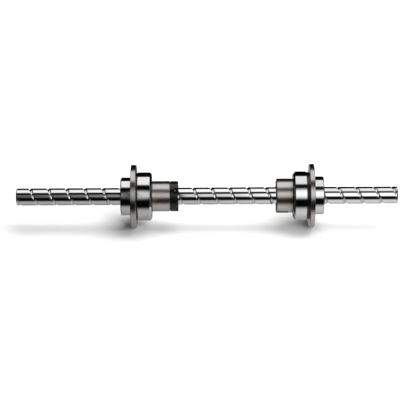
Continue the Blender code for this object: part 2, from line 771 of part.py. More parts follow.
def drill_for_screw(item, face_x, into, angle, depth, cutters):
    """A clearance hole and a counterbore for one cap screw; into is the sign of its direction."""
    outside = round_axis(face_x - into * OVERRUN, CAP_SCREW_CIRCLE_R, angle)
    through = round_axis(face_x + into * (depth + OVERRUN), CAP_SCREW_CIRCLE_R, angle)
    seat = round_axis(face_x + into * (SCREW_HEAD_SINK + SCREW_HEAD_HEIGHT + GAP),
                      CAP_SCREW_CIRCLE_R, angle)
    boolean(item, cutter_cylinder(f"{item.name}_hole_{angle:.0f}", SCREW_SHANK_R + GAP,
                                  outside, through, cutters))
    boolean(item, cutter_cylinder(f"{item.name}_seat_{angle:.0f}", SMALL_HEAD_R + GAP,
                                  outside, seat, cutters))


def tap_nut_for_screws(item, mouth_x, into, angles, circle_r, cutters):
    """Blind holes in the nut for the screws of one end cap."""
    for angle in angles:
        boolean(item, cutter_cylinder(f"{item.name}_tap_{angle:.0f}", SCREW_SHANK_R + GAP,
                                      round_axis(mouth_x - into * OVERRUN, circle_r, angle),
                                      round_axis(mouth_x + into * (SCREW_REACH + OVERRUN),
                                                 circle_r, angle), cutters))


def add_screw(name, head_x, into, angle, circle_r, head_r, length, collection, cutters, material):
    """A socket-head screw: head_x is the X of its head's outer face."""
    seat_x = head_x + into * SCREW_HEAD_HEIGHT
    tip_x = head_x + into * length
    outline = [(head_x, 0.0), (head_x, head_r), (seat_x, head_r),
               (seat_x, SCREW_SHANK_R), (tip_x, SCREW_SHANK_R), (tip_x, 0.0)]
    item = turned(name, outline, collection, material, HOLE_SIDES, closed=False, origin=head_x)
    bake(item)
    item.location = round_axis(head_x, circle_r, angle)
    socket = cutter_cylinder(name + "_socket", SCREW_SOCKET_R,
                             round_axis(head_x - into * OVERRUN, circle_r, angle),
                             round_axis(head_x + into * SCREW_SOCKET_DEPTH, circle_r, angle),
                             cutters, SOCKET_SIDES)
    boolean(item, socket)
    bake(item)
    shade(item)


def make_wiper(unit, place, low, high, collection, material):
    """A felt ring in a cap's mouth, which wipes the thread."""
    front = high - GAP
    outline = [(low, WIPER_BORE_R), (low, WIPER_R), (front, WIPER_R), (front, WIPER_BORE_R)]
    item = turned(f"{unit['name']}_{place}_wiper", [(unit["side"] * d, r) for d, r in outline],
                  collection, material, PLAIN_STEPS, origin=unit["side"] * low)
    bake(item)
    shade(item)


def pocket_angles():
    return [CAP_POCKET_ANGLE + 360.0 * index / CAP_POCKETS for index in range(CAP_POCKETS)]


def make_exposed_cap(unit, collection, cutters, materials):
    """The left unit's plastic return cap, with open screw pockets round its free end."""
    side = unit["side"]
    low, high = unit["cap_end"], unit["tail_end"] - GAP
    outline = cap_ring_outline(low, high, EXPOSED_CAP_R, low, low + WIPER_WIDTH)
    name = unit["name"] + "_tail_end_cap"
    item = turned(name, [(side * d, r) for d, r in outline], collection, materials["cap"],
                  FINE_STEPS, origin=side * high)
    cut_return_scoop(item, side * high, -side, cutters)
    seat_x = side * (low + CAP_POCKET_DEPTH)
    head_x = seat_x - side * (SCREW_HEAD_HEIGHT + GAP)
    length = high + SCREW_REACH - abs(head_x)
    pocket_size = (2 * CAP_POCKET_DEPTH, CAP_POCKET_WIDTH, POCKET_HEIGHT)
    pocket_middle = (side * low, CAP_POCKET_FLOOR_R + POCKET_HEIGHT / 2)
    for index, angle in enumerate(pocket_angles()):
        boolean(item, cutter_box(f"{name}_pocket_{index}", pocket_middle, pocket_size, angle,
                                 cutters))
        boolean(item, cutter_cylinder(f"{name}_hole_{index}", SCREW_SHANK_R + GAP,
                                      round_axis(seat_x - side * OVERRUN,
                                                 POCKET_SCREW_CIRCLE_R, angle),
                                      round_axis(side * (high + OVERRUN),
                                                 POCKET_SCREW_CIRCLE_R, angle), cutters))
        add_screw(f"{unit['name']}_tail_cap_screw_{index + 1}", head_x, side, angle,
                  POCKET_SCREW_CIRCLE_R, POCKET_HEAD_R, length, collection, cutters,
                  materials["screw"])
    bake(item)
    shade(item)
    make_wiper(unit, "tail", low + GAP, low + WIPER_WIDTH, collection, materials["wiper"])


def recessed_screw_angles():
    return LUG_ANGLE + 90.0, LUG_ANGLE + 270.0


def make_recessed_cap(unit, collection, cutters, materials):
    """The right unit's plastic return cap, sunk in the tail with two lugs in its notches."""
    side, tail = unit["side"], unit["tail_end"]
    low, high = tail + RECESSED_CAP_SINK, tail + RECESSED_CAP_DEPTH - GAP
    name = unit["name"] + "_tail_end_cap"
    outline = cap_ring_outline(low, high, RECESSED_CAP_R - GAP, low, low + WIPER_WIDTH)
    item = turned(name, [(side * d, r) for d, r in outline], collection, materials["cap"],
                  PLAIN_STEPS, origin=side * high)
    cut_return_scoop(item, side * high, -side, cutters)
    lug_low, lug_high = low + LUG_SINK, tail + LUG_LENGTH - GAP
    inner_r, outer_r = RECESSED_CAP_R - LUG_FOOT, unit["tail_r"] - LUG_DROP
    size = (lug_high - lug_low, LUG_WIDTH - 2 * GAP, outer_r - inner_r)
    middle = (side * (lug_low + lug_high) / 2, (inner_r + outer_r) / 2)
    for index in range(2):
        angle = LUG_ANGLE + 180.0 * index
        boolean(item, cutter_box(f"{name}_lug_{index}", middle, size, angle, cutters), "UNION")
    for index, angle in enumerate(recessed_screw_angles()):
        drill_for_screw(item, side * low, side, angle, high - low, cutters)
        add_screw(f"{unit['name']}_tail_cap_screw_{index + 1}",
                  side * (low + SCREW_HEAD_SINK), side, angle, CAP_SCREW_CIRCLE_R,
                  SMALL_HEAD_R, high - low + SCREW_REACH, collection, cutters, materials["screw"])
    bake(item)
    shade(item)
    make_wiper(unit, "tail", low + GAP, low + WIPER_WIDTH, collection, materials["wiper"])


# ---- assembly ---------------------------------------------------------------------------------


def make_unit(unit, collection, cutters, materials):
    make_flange_ring(unit, collection, cutters, materials["ring"])
    make_grease_plug(unit, collection, cutters, materials["screw"])
    make_bearing_seals(unit, collection, materials["seal"])
    make_ball_cages(unit, collection, cutters, materials["ball"])
    make_ball_nut(unit, collection, cutters, materials["nut"])
    make_loaded_balls(unit, collection, cutters, materials["ball"])
    make_return_balls(unit, collection, cutters, materials["ball"])
    make_collar_cap(unit, collection, cutters, materials)
    if is_recessed(unit):
        make_recessed_cap(unit, collection, cutters, materials)
    else:
        make_exposed_cap(unit, collection, cutters, materials)


def main():
    clear_scene()
    parts = new_collection("ball_screw_assembly")
    cutters = new_collection("cutters")
    materials = make_materials()
    make_shaft(parts, cutters, materials["shaft"])
    for unit in (LEFT, RIGHT):
        make_unit(unit, parts, cutters, materials)


main()
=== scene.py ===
"""Looks of the ball screw assembly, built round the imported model.

Frame: +X along the screw axis, +Z up, origin at the middle of the shaft on its axis. Metres.
Each unit is drawn from stations, which are distances from the shaft's middle, outwards.
Angles round the axis start at +Y and turn by the right-hand rule about +X.
"""

import json
from math import atan2, ceil, cos, pi, radians, sin, sqrt, tan, tau

import bmesh
import bpy
from mathutils import Matrix, Vector


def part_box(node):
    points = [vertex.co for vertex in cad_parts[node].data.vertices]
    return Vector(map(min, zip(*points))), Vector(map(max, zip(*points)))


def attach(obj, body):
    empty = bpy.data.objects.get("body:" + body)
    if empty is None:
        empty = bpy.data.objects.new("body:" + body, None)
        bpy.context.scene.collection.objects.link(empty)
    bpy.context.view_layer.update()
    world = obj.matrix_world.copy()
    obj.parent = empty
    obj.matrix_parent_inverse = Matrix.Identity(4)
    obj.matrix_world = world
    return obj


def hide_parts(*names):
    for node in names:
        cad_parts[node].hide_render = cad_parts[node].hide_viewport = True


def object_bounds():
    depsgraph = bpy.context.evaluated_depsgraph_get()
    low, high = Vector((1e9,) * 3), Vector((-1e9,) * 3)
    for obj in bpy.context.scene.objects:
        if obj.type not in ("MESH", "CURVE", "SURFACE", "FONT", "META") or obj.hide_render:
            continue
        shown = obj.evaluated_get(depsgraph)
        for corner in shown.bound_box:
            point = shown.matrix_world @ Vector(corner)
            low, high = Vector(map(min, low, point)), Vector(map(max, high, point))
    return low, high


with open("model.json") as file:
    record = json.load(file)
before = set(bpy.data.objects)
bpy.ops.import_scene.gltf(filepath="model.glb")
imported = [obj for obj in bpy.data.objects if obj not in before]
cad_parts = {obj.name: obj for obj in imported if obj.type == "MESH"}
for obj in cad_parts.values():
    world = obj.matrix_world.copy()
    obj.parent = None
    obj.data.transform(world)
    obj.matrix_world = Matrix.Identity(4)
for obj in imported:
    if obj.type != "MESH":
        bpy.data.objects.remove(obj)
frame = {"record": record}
cad_low, cad_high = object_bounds()

MM = 0.001

# ---- sizes, as in the CAD model ---------------------------------------------------------------

SHAFT_LENGTH = cad_high.x - cad_low.x
SHAFT_R = (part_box("screw_shaft")[1].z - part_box("screw_shaft")[0].z) / 2
SHAFT_CHAMFER = 0.8 * MM
CENTRE_HOLE_R = 2.7 * MM
CENTRE_HOLE_DEPTH = 4.0 * MM

LEAD = tau / next(c["ratio"] for c in frame["record"]["behaviour"]["couplings"]
                  if c["joint"] == "left_nut_spin")
GROOVE_R = 1.85 * MM
GROOVE_EDGE_R = 0.12 * MM
BALL_CIRCLE_R = 10.1 * MM
BALL_R = 1.7 * MM
BALL_PITCH = 3.6 * MM
GROOVE_START = 0.24 * MM     # X of the groove where it passes +Y
TURN_STEPS = 72

NUT_BORE_R = 9.95 * MM
RETURN_HOLE_R = 1.85 * MM
RETURN_CIRCLE_R = 14.15 * MM
RETURN_ANGLE = 269.0
COLLAR_SCREW_ANGLES = (RETURN_ANGLE + 90.0, RETURN_ANGLE + 270.0)
CIRCUIT_TURNS = 1.5

FLANGE_R = cad_high.z
PILOT_R = 26.7 * MM
PILOT_CHAMFER = 1.9 * MM
RELIEF_DEPTH = 0.8 * MM
CORNER_DEPTH = 0.3 * MM
CORNER_REACH = 0.1 * MM
COLLAR_R = 21.1 * MM
JOURNAL_R = 20.9 * MM
RING_BORE_R = 23.3 * MM
SEAT_R = 24.4 * MM
SEAL_WIDTH = 2.0 * MM

ROW_CIRCLE_R = 22.1 * MM
ROW_BALL_R = 2.0 * MM
RACEWAY_R = 2.15 * MM
ROW_BALLS = 16
ROW_INSET = 6.6 * MM

CAP_SEAT_R = 15.9 * MM
CAP_SEAT_DEPTH = 7.0 * MM
CAP_SINK = 0.8 * MM
WIPER_R = 11.8 * MM
WIPER_WIDTH = 2.2 * MM
GAP = 0.3 * MM

FLANGE_HOLES = 6
FLANGE_HOLE_R = 2.25 * MM
FLANGE_HOLE_CIRCLE_R = 31.0 * MM
PULLEY_HOLES = 4
PULLEY_HOLE_R = 1.65 * MM
PULLEY_HOLE_CIRCLE_R = 18.0 * MM
PULLEY_HOLE_DEPTH = 8.0 * MM

SCREW_HEAD_HEIGHT = 1.6 * MM
SCREW_HEAD_SINK = 0.3 * MM
SCREW_SHANK_R = 0.9 * MM
SCREW_SOCKET_R = 0.7 * MM
SCREW_SOCKET_DEPTH = 0.9 * MM
SCREW_REACH = 5.0 * MM
SMALL_HEAD_R = 1.3 * MM
POCKET_HEAD_R = 1.9 * MM
CAP_SCREW_CIRCLE_R = 13.9 * MM

GREASE_HOLE_R = 1.6 * MM
GREASE_HOLE_DEPTH = 5.0 * MM
GREASE_ANGLE = 0.0
PLUG_SINK = 0.6 * MM
PLUG_SOCKET_R = 0.7 * MM
PLUG_SOCKET_DEPTH = 1.2 * MM

CAGE_WIDTH = 4.8 * MM
CAGE_THICKNESS = 1.0 * MM
CAGE_EDGE = 0.15 * MM
CAGE_PLAY = 0.15 * MM        # between a bearing ball and its window

SHANK_PLAY = 0.1 * MM
HEAD_PLAY = 0.15 * MM
CUTTER_OVERRUN = 2.0 * MM
SINK_DEPTH = 0.4 * MM        # countersinks of the flange and pulley holes
SINK_FLARE = 0.8 * MM
SINK_INSET = 0.1 * MM

EXPOSED_CAP_R = 16.75 * MM
POCKET_ANGLES = (134.0, 224.0, 314.0, 404.0)
CAP_POCKET_WIDTH = 7.0 * MM
CAP_POCKET_DEPTH = 4.2 * MM
CAP_POCKET_FLOOR_R = 12.5 * MM
CAP_POCKET_HEIGHT = 8.0 * MM
POCKET_SCREW_CIRCLE_R = 14.5 * MM

RECESSED_CAP_R = 16.2 * MM
RECESSED_CAP_DEPTH = 7.0 * MM
LUG_ANGLES = (230.0, 410.0)
RECESSED_SCREW_ANGLES = (320.0, 500.0)
LUG_WIDTH = 8.0 * MM
LUG_LENGTH = 4.0 * MM
SLOT_LENGTH = 13.0 * MM
SLOT_DEPTH = 0.7 * MM
SLOT_HEIGHT = 4.0 * MM
NOTCH_HEIGHT = 8.0 * MM
NOTCH_OVERLAP = 1.2 * MM

FINE_EDGE = 0.15 * MM        # fillets of the turned corners
EDGE = 0.2 * MM
SOFT_EDGE = 0.3 * MM

TURNED_STEPS = 144

# ---- camera and studio ------------------------------------------------------------------------

IMAGE_WIDTH = 416
FOCAL_PIXELS = 1600.0
SENSOR = 36.0
CAMERA_DISTANCE = 1.77
CAMERA_ELEVATION = 25.0
CAMERA_X = 1.05 * MM
CAMERA_TILT = 0.43           # degrees below the line to the shaft's axis
CAMERA_ROLL = -0.31

TENT_RADIUS = 1.2
TENT_HALF_LENGTH = 2.2


def read_unit(name):
    """Stations of one unit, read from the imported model's mounts and node boxes."""
    mounts = {mount["name"]: mount for mount in frame["record"]["mounts"]}
    side = 1 if mounts[name + "_pulley_face"]["pos_m"][0] > 0 else -1

    def near_end(node):
        return min(abs(corner.x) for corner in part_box(node))

    return {
        "name": name,
        "side": side,
        "collar_face": abs(mounts[name + "_pulley_face"]["pos_m"][0]),
        "flange_outer": abs(mounts[name + "_flange_outer_face"]["pos_m"][0]),
        "flange_inner": abs(mounts[name + "_flange_mounting_face"]["pos_m"][0]),
        "ring_end": near_end(name + "_flange_ring"),
        "tail_end": near_end(name + "_ball_nut"),
        "cap_end": near_end(name + "_tail_end_cap"),
        "tail_r": TAIL_R[name],
        "relief_end": RELIEF_END[name],
        "exposed_cap": name == "left",
    }


TAIL_R = {"left": 16.85 * MM, "right": 19.0 * MM}
RELIEF_END = {"left": 76.0 * MM, "right": 109.4 * MM}

# ---- material nodes ---------------------------------------------------------------------------


def new_material(name, colour, roughness, metallic):
    """A Principled material; returns it with its nodes, links and shader."""
    material = bpy.data.materials.new(name)
    material.use_nodes = True
    tree = material.node_tree
    shader = tree.nodes["Principled BSDF"]
    shader.inputs["Base Color"].default_value = (*colour, 1.0)
    shader.inputs["Roughness"].default_value = roughness
    shader.inputs["Metallic"].default_value = metallic
    return material, tree, shader


def math_node(tree, operation, first, second=None):
    node = tree.nodes.new("ShaderNodeMath")
    node.operation = operation
    for socket, value in zip(node.inputs, (first, second)):
        if value is None:
            continue
        if isinstance(value, (int, float)):
            socket.default_value = value
        else:
            tree.links.new(value, socket)
    return node.outputs[0]


def noise(tree, vector, scale, detail=2.0, roughness=0.5):
    node = tree.nodes.new("ShaderNodeTexNoise")
    node.inputs["Scale"].default_value = scale
    node.inputs["Detail"].default_value = detail
    node.inputs["Roughness"].default_value = roughness
    if vector is not None:
        tree.links.new(vector, node.inputs["Vector"])
    return node.outputs["Fac"]


def mapped(tree, value, low, high, from_low=0.3, from_high=0.7):
    node = tree.nodes.new("ShaderNodeMapRange")
    node.inputs["From Min"].default_value = from_low
    node.inputs["From Max"].default_value = from_high
    node.inputs["To Min"].default_value = low
    node.inputs["To Max"].default_value = high
    tree.links.new(value, node.inputs["Value"])
    return node.outputs["Result"]


def object_parts(tree):
    """Object coordinates, and x, the distance from the axis, and the angle round it."""
    coordinates = tree.nodes.new("ShaderNodeTexCoord").outputs["Object"]
    split = tree.nodes.new("ShaderNodeSeparateXYZ")
    tree.links.new(coordinates, split.inputs[0])
    x, y, z = split.outputs
    square = math_node(tree, "ADD", math_node(tree, "MULTIPLY", y, y),
                       math_node(tree, "MULTIPLY", z, z))
    return coordinates, x, math_node(tree, "SQRT", square), math_node(tree, "ARCTAN2", z, y)


def turning_marks(tree, per_mm, drift=0.6):
    """Fine rings left by the tool: they change along the axis and the radius, hardly round it."""
    coordinates, x, radius, angle = object_parts(tree)
    combine = tree.nodes.new("ShaderNodeCombineXYZ")
    tree.links.new(math_node(tree, "MULTIPLY", x, per_mm / MM), combine.inputs[0])
    tree.links.new(math_node(tree, "MULTIPLY", radius, per_mm / MM), combine.inputs[1])
    tree.links.new(math_node(tree, "MULTIPLY", math_node(tree, "SINE", angle), drift),
                   combine.inputs[2])
    return coordinates, noise(tree, combine.outputs[0], 1.0, 3.0, 0.6)


def blend_colours(tree, factor, first, second):
    node = tree.nodes.new("ShaderNodeMix")
    node.data_type = "RGBA"
    node.inputs["A"].default_value = (*first, 1.0)
    node.inputs["B"].default_value = (*second, 1.0)
    tree.links.new(factor, node.inputs["Factor"])
    return node.outputs["Result"]


def add_bump(tree, shader, height, strength, distance):
    node = tree.nodes.new("ShaderNodeBump")
    node.inputs["Strength"].default_value = strength
    node.inputs["Distance"].default_value = distance
    tree.links.new(height, node.inputs["Height"])
    tree.links.new(node.outputs["Normal"], shader.inputs["Normal"])


def polished_steel(name, colour, roughness, marks_per_mm, bump):
    """Ground and lapped steel: mirror bright, with faint rings and a little haze."""
    material, tree, shader = new_material(name, colour, roughness, 1.0)
    coordinates, marks = turning_marks(tree, marks_per_mm)
    haze = noise(tree, coordinates, 90.0, 3.0)
    rough = math_node(tree, "ADD", mapped(tree, marks, roughness * 0.8, roughness * 1.25),
                      mapped(tree, haze, 0.0, roughness * 0.4, 0.4, 0.75))
    tree.links.new(rough, shader.inputs["Roughness"])
    tone = [channel * 0.96 for channel in colour]
    tree.links.new(blend_colours(tree, mapped(tree, haze, 0.0, 1.0), colour, tone),
                   shader.inputs["Base Color"])
    add_bump(tree, shader, marks, bump, 0.002 * MM)
    return material


def satin_steel(name, colour, roughness, marks_per_mm, bump, anisotropy=0.8):
    """Finish-turned steel: warm grey, with rings from the tool that blur it along the axis."""
    material, tree, shader = new_material(name, colour, roughness, 1.0)
    shader.inputs["Anisotropic"].default_value = anisotropy
    shader.inputs["Anisotropic Rotation"].default_value = 0.25
    coordinates, marks = turning_marks(tree, marks_per_mm, 0.9)
    patches = noise(tree, coordinates, 60.0, 4.0)
    rough = math_node(tree, "ADD", mapped(tree, marks, roughness * 0.85, roughness * 1.2),
                      mapped(tree, patches, -0.02, 0.03))
    tree.links.new(rough, shader.inputs["Roughness"])
    dark = [channel * 0.86 for channel in colour]
    tree.links.new(blend_colours(tree, mapped(tree, marks, 0.0, 1.0), colour, dark),
                   shader.inputs["Base Color"])
    tangent = tree.nodes.new("ShaderNodeTangent")
    tangent.direction_type = "RADIAL"
    tangent.axis = "X"
    tree.links.new(tangent.outputs["Tangent"], shader.inputs["Tangent"])
    add_bump(tree, shader, marks, bump, 0.004 * MM)
    return material


def grained(name, colour, second, roughness, metallic, grain_scale, bump):
    """Moulded plastic, rubber, felt or a plated screw: an even colour with a fine grain."""
    material, tree, shader = new_material(name, colour, roughness, metallic)
    coordinates = tree.nodes.new("ShaderNodeTexCoord").outputs["Object"]
    grain = noise(tree, coordinates, grain_scale, 4.0, 0.6)
    broad = noise(tree, coordinates, grain_scale / 12, 2.0)
    tree.links.new(mapped(tree, grain, roughness * 0.85, roughness * 1.15),
                   shader.inputs["Roughness"])
    tree.links.new(blend_colours(tree, mapped(tree, broad, 0.0, 1.0), colour, second),
                   shader.inputs["Base Color"])
    add_bump(tree, shader, grain, bump, 0.02 * MM)
    return material


def make_materials():
    return {
        "shaft": polished_steel("polished_shaft_steel", (0.95, 0.95, 0.955), 0.03, 6.0, 0.06),
        "groove": polished_steel("ground_groove_steel", (0.86, 0.86, 0.87), 0.07, 8.0, 0.12),
        "polished": polished_steel("polished_ring_steel", (0.83, 0.83, 0.835), 0.045, 5.0, 0.10),
        "tail": satin_steel("satin_turned_steel", (0.84, 0.81, 0.785), 0.40, 3.0, 0.25, 0.88),
        "rim": satin_steel("turned_rim_steel", (0.68, 0.65, 0.63), 0.30, 3.0, 0.25),
        "face": satin_steel("turned_face_steel", (0.62, 0.60, 0.585), 0.30, 4.0, 0.30, 0.5),
        # Painted shade: the slot steel is the tail steel darkened to about a third, standing in
        # for the shade in the shallow slots of the right tail.
        "milled": satin_steel("milled_slot_steel", (0.26, 0.25, 0.24), 0.35, 4.0, 0.30, 0.5),
        # Painted shade: the relief steel is a near-black copy of the turned steel. It goes in the
        # relief groove, the neck and the sunk cap's mouth, where shade falls.
        "relief": satin_steel("painted_shade_relief_steel", (0.10, 0.095, 0.09), 0.35, 4.0, 0.30, 0.5),
        "ball": polished_steel("bearing_ball_steel", (0.90, 0.90, 0.91), 0.05, 2.0, 0.02),
        "cage": grained("cage_plastic", (0.30, 0.22, 0.12), (0.26, 0.19, 0.10), 0.45, 0.0,
                        2500.0, 0.2),
        "cap": grained("black_cap_plastic", (0.003, 0.003, 0.0032), (0.005, 0.005, 0.005), 0.18,
                       0.0, 3000.0, 0.25),
        "seal": grained("black_seal_rubber", (0.020, 0.020, 0.020), (0.030, 0.029, 0.028), 0.55,
                        0.0, 4000.0, 0.35),
        "felt": grained("felt_wiper", (0.16, 0.14, 0.12), (0.10, 0.09, 0.08), 0.95, 0.0,
                        5000.0, 0.9),
        "brass": grained("brass_screw", (0.30, 0.17, 0.075), (0.25, 0.14, 0.06), 0.35, 1.0,
                         3000.0, 0.15),
        "blackened": grained("blackened_screw", (0.10, 0.10, 0.105), (0.07, 0.07, 0.075), 0.40,
                             0.8, 3000.0, 0.2),
    }


# ---- mesh helpers -----------------------------------------------------------------------------


def link(name, mesh, materials=()):
    item = bpy.data.objects.new(name, mesh)
    bpy.context.scene.collection.objects.link(item)
    for material in materials:
        mesh.materials.append(material)
    return item


def mesh_from(bm, name):
    mesh = bpy.data.meshes.new(name)
    bm.to_mesh(mesh)
    bm.free()
    return mesh


def round_axis(x, radius, angle):
    return Vector((x, radius * cos(radians(angle)), radius * sin(radians(angle))))


def arc(centre, radius, start, end, segments):
    """Points of an arc in the (station, radius) plane, angles in degrees."""
    points = []
    for step in range(segments + 1):
        angle = radians(start + (end - start) * step / segments)
        points.append((centre[0] + radius * cos(angle), centre[1] + radius * sin(angle)))
    return points


def rounded(outline, segments=4):
    """A closed outline of (station, radius, fillet) corners as plain points."""
    points = []
    for index, corner in enumerate(outline):
        here = Vector(corner[:2])
        fillet = corner[2] if len(corner) > 2 else 0.0
        if fillet <= 0.0:
            points.append(tuple(here))
            continue
        back = (Vector(outline[index - 1][:2]) - here).normalized()
        ahead = (Vector(outline[(index + 1) % len(outline)][:2]) - here).normalized()
        half = back.angle(ahead) / 2
        centre = here + (back + ahead).normalized() * (fillet / sin(half))
        start = here + back * (fillet / tan(half)) - centre
        end = here + ahead * (fillet / tan(half)) - centre
        turn = start.angle_signed(end)
        for step in range(segments + 1):
            swing = -turn * step / segments
            points.append((centre.x + start.x * cos(swing) - start.y * sin(swing),
                           centre.y + start.x * sin(swing) + start.y * cos(swing)))
    return points


def signed_area(outline):
    total = 0.0
    for (x0, r0), (x1, r1) in zip(outline, outline[1:] + outline[:1]):
        total += x0 * r1 - x1 * r0
    return total / 2


def spin(bm, points, steps, closed=True):
    """Spins an outline about the X axis into a bmesh; points on the axis become one vertex."""
    if signed_area(points) < 0:
        points = points[::-1]
    rings = []
    for x, r in points:
        if r < 0.000001:
            rings.append([bm.verts.new((x, 0.0, 0.0))] * steps)
            continue
        rings.append([bm.verts.new(round_axis(x, r, 360.0 * step / steps))
                      for step in range(steps)])
    pairs = list(zip(rings, rings[1:]))
    if closed:
        pairs.append((rings[-1], rings[0]))
    for near, far in pairs:
        for step in range(steps):
            follow = (step + 1) % steps
            corners = [near[step], far[step], far[follow], near[follow]]
            unique = []
            for corner in corners:
                if corner not in unique:
                    unique.append(corner)
            if len(unique) > 2:
                bm.faces.new(unique)


def turned(name, unit, outline, materials, steps=TURNED_STEPS):
    """A ring turned about the X axis, from an outline of stations."""
    points = [(unit["side"] * d, r) for d, r in rounded(outline)]
    bm = bmesh.new()
    spin(bm, points, steps)
    return link(name, mesh_from(bm, name), materials)


def paint(item, rule):
    """Gives each face the material slot that rule(centre, normal) names."""
    for face in item.data.polygons:
        face.material_index = rule(face.center, face.normal)


def finish(item, angle=28.0):
    """Smooth shading with hard corners, and normals that follow the larger faces."""
    item.data.shade_smooth()
    item.data.set_sharp_from_angle(angle=radians(angle))
    weighted = item.modifiers.new("normals", "WEIGHTED_NORMAL")
    weighted.keep_sharp = True
    return item


def settle(item):
    """Applies the modifiers and drops them."""
    depsgraph = bpy.context.evaluated_depsgraph_get()
    depsgraph.update()
    mesh = bpy.data.meshes.new_from_object(item.evaluated_get(depsgraph))
    item.modifiers.clear()
    item.data = mesh
    return item


def cylinder(bm, radius, start, end, sides, flare=0.0):
    """Adds a closed round bar to a bmesh; a flare widens its far end into a countersink."""
    run = Vector(end) - Vector(start)
    turn = run.to_track_quat("Z", "Y").to_matrix().to_4x4()
    matrix = Matrix.Translation((Vector(start) + Vector(end)) / 2) @ turn
    bmesh.ops.create_cone(bm, cap_ends=True, segments=sides, radius1=radius,
                          radius2=radius + flare, depth=run.length, matrix=matrix)


def drill(bm, radius, start, end, circle_r, angle, sides, flare=0.0):
    """Adds a round bar parallel to the X axis, at an angle on a circle round it."""
    cylinder(bm, radius, round_axis(start, circle_r, angle), round_axis(end, circle_r, angle),
             sides, flare)


def bore_in(bm, radius, x, low_r, high_r, angle, sides):
    """Adds a round bar that points away from the X axis."""
    cylinder(bm, radius, round_axis(x, low_r, angle), round_axis(x, high_r, angle), sides)


def block(bm, x, radius, size, angle):
    """Adds a box whose local Z points away from the axis at the given angle."""
    turn = Matrix.Rotation(radians(angle) - pi / 2, 4, "X")
    matrix = Matrix.Translation(round_axis(x, radius, angle)) @ turn
    bmesh.ops.create_cube(bm, size=1.0, matrix=matrix @ Matrix.Diagonal((*size, 1.0)))


def cut(item, build, operation="DIFFERENCE"):
    """Cuts or joins what build(bmesh) makes; the separate shapes in it may not touch."""
    bm = bmesh.new()
    build(bm)
    tool = link(item.name + "_tool", mesh_from(bm, "tool"))
    modifier = item.modifiers.new("cut", "BOOLEAN")
    modifier.operation = operation
    modifier.solver = "EXACT"
    modifier.object = tool
    settle(item)
    bpy.data.objects.remove(tool, do_unlink=True)
    return item


def hole_ring(item, count, radius, circle_r, ends, mouths, sides):
    """Cuts a ring of holes between two X, and countersinks each mouth (X, way out)."""
    angles = [360.0 * (index + 0.5) / count for index in range(count)]

    def holes(bm):
        for angle in angles:
            drill(bm, radius, *ends, circle_r, angle, sides)

    def countersinks(bm):
        for angle in angles:
            for mouth, out in mouths:
                drill(bm, radius - SINK_INSET, mouth - out * SINK_DEPTH,
                      mouth + out * SINK_DEPTH, circle_r, angle, sides, SINK_FLARE)

    cut(item, holes)
    cut(item, countersinks)


def place(item, node, body):
    """The piece stands for a CAD node: it moves with its body, and the CAD node is hidden."""
    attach(item, body)
    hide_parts(node)
    return item


# ---- the screw --------------------------------------------------------------------------------


def thread_profile():
    """One lead of the shaft's outline as (x, radius): groove, broken edges and land."""
    drop = BALL_CIRCLE_R - SHAFT_R
    reach = sqrt(GROOVE_R ** 2 - drop ** 2)
    stretch = 1.0 / cos(atan2(LEAD, tau * BALL_CIRCLE_R))
    edge = atan2(drop, reach)
    outline = [(reach * stretch + GROOVE_EDGE_R * 1.6, SHAFT_R),
               (reach * stretch + GROOVE_EDGE_R * 0.5, SHAFT_R - GROOVE_EDGE_R * 0.25)]
    segments = 12
    inset = edge + GROOVE_EDGE_R / GROOVE_R
    for step in range(segments + 1):
        angle = -inset - (pi - 2 * inset) * step / segments
        outline.append((GROOVE_R * cos(angle) * stretch, BALL_CIRCLE_R + GROOVE_R * sin(angle)))
    outline += [(-x, r) for x, r in reversed(outline[:2])]
    land = LEAD - outline[0][0] + outline[-1][0]
    outline += [(outline[-1][0] - land * part / 3, SHAFT_R) for part in (1, 2)]
    return outline


def make_shaft(materials):
    """The threaded bar: its outline is carried along the helix and cut square at both ends."""
    profile = thread_profile()
    turns = ceil(SHAFT_LENGTH / LEAD) + 3
    first_x = GROOVE_START - LEAD * (turns // 2)
    bm = bmesh.new()
    rows = []
    for step in range(turns * TURN_STEPS + 1):
        angle = 360.0 * step / TURN_STEPS
        shift = first_x + LEAD * step / TURN_STEPS
        rows.append([bm.verts.new(round_axis(shift + x, r, angle)) for x, r in profile])
    for index, (row, following) in enumerate(zip(rows, rows[1:])):
        for left, right in zip(range(len(profile) - 1), range(1, len(profile))):
            bm.faces.new((row[left], following[left], following[right], row[right]))
        if index >= TURN_STEPS:
            before, after = rows[index - TURN_STEPS], rows[index - TURN_STEPS + 1]
            bm.faces.new((row[-1], following[-1], after[0], before[0]))
    end = SHAFT_LENGTH / 2
    for side in (-1, 1):
        for x, clear in ((end - SHAFT_CHAMFER, False), (end, True)):
            bmesh.ops.bisect_plane(bm, geom=bm.verts[:] + bm.edges[:] + bm.faces[:],
                                   plane_co=(side * x, 0, 0), plane_no=(side, 0, 0),
                                   clear_outer=clear, dist=0.0000001)
    for vert in bm.verts:
        limit = SHAFT_R + end - SHAFT_CHAMFER - abs(vert.co.x)
        radius = sqrt(vert.co.y ** 2 + vert.co.z ** 2)
        if radius > limit:
            vert.co.y *= limit / radius
            vert.co.z *= limit / radius
    for side in (-1, 1):
        close_shaft_end(bm, side * end, side)
    bmesh.ops.remove_doubles(bm, verts=bm.verts, dist=0.0000005)
    bmesh.ops.recalc_face_normals(bm, faces=bm.faces)
    item = link("screw_shaft_finished", mesh_from(bm, "screw_shaft_finished"),
                (materials["shaft"], materials["groove"], materials["face"]))

    def finish_of(centre, normal):
        if abs(normal.x) > 0.9 or abs(centre.x) > end - 0.00001:
            return 2
        depth = SHAFT_R - sqrt(centre.y ** 2 + centre.z ** 2)
        return 1 if depth > GROOVE_EDGE_R / 2 else 0

    paint(item, finish_of)
    finish(item, 32.0)
    return place(item, "screw_shaft", "screw")


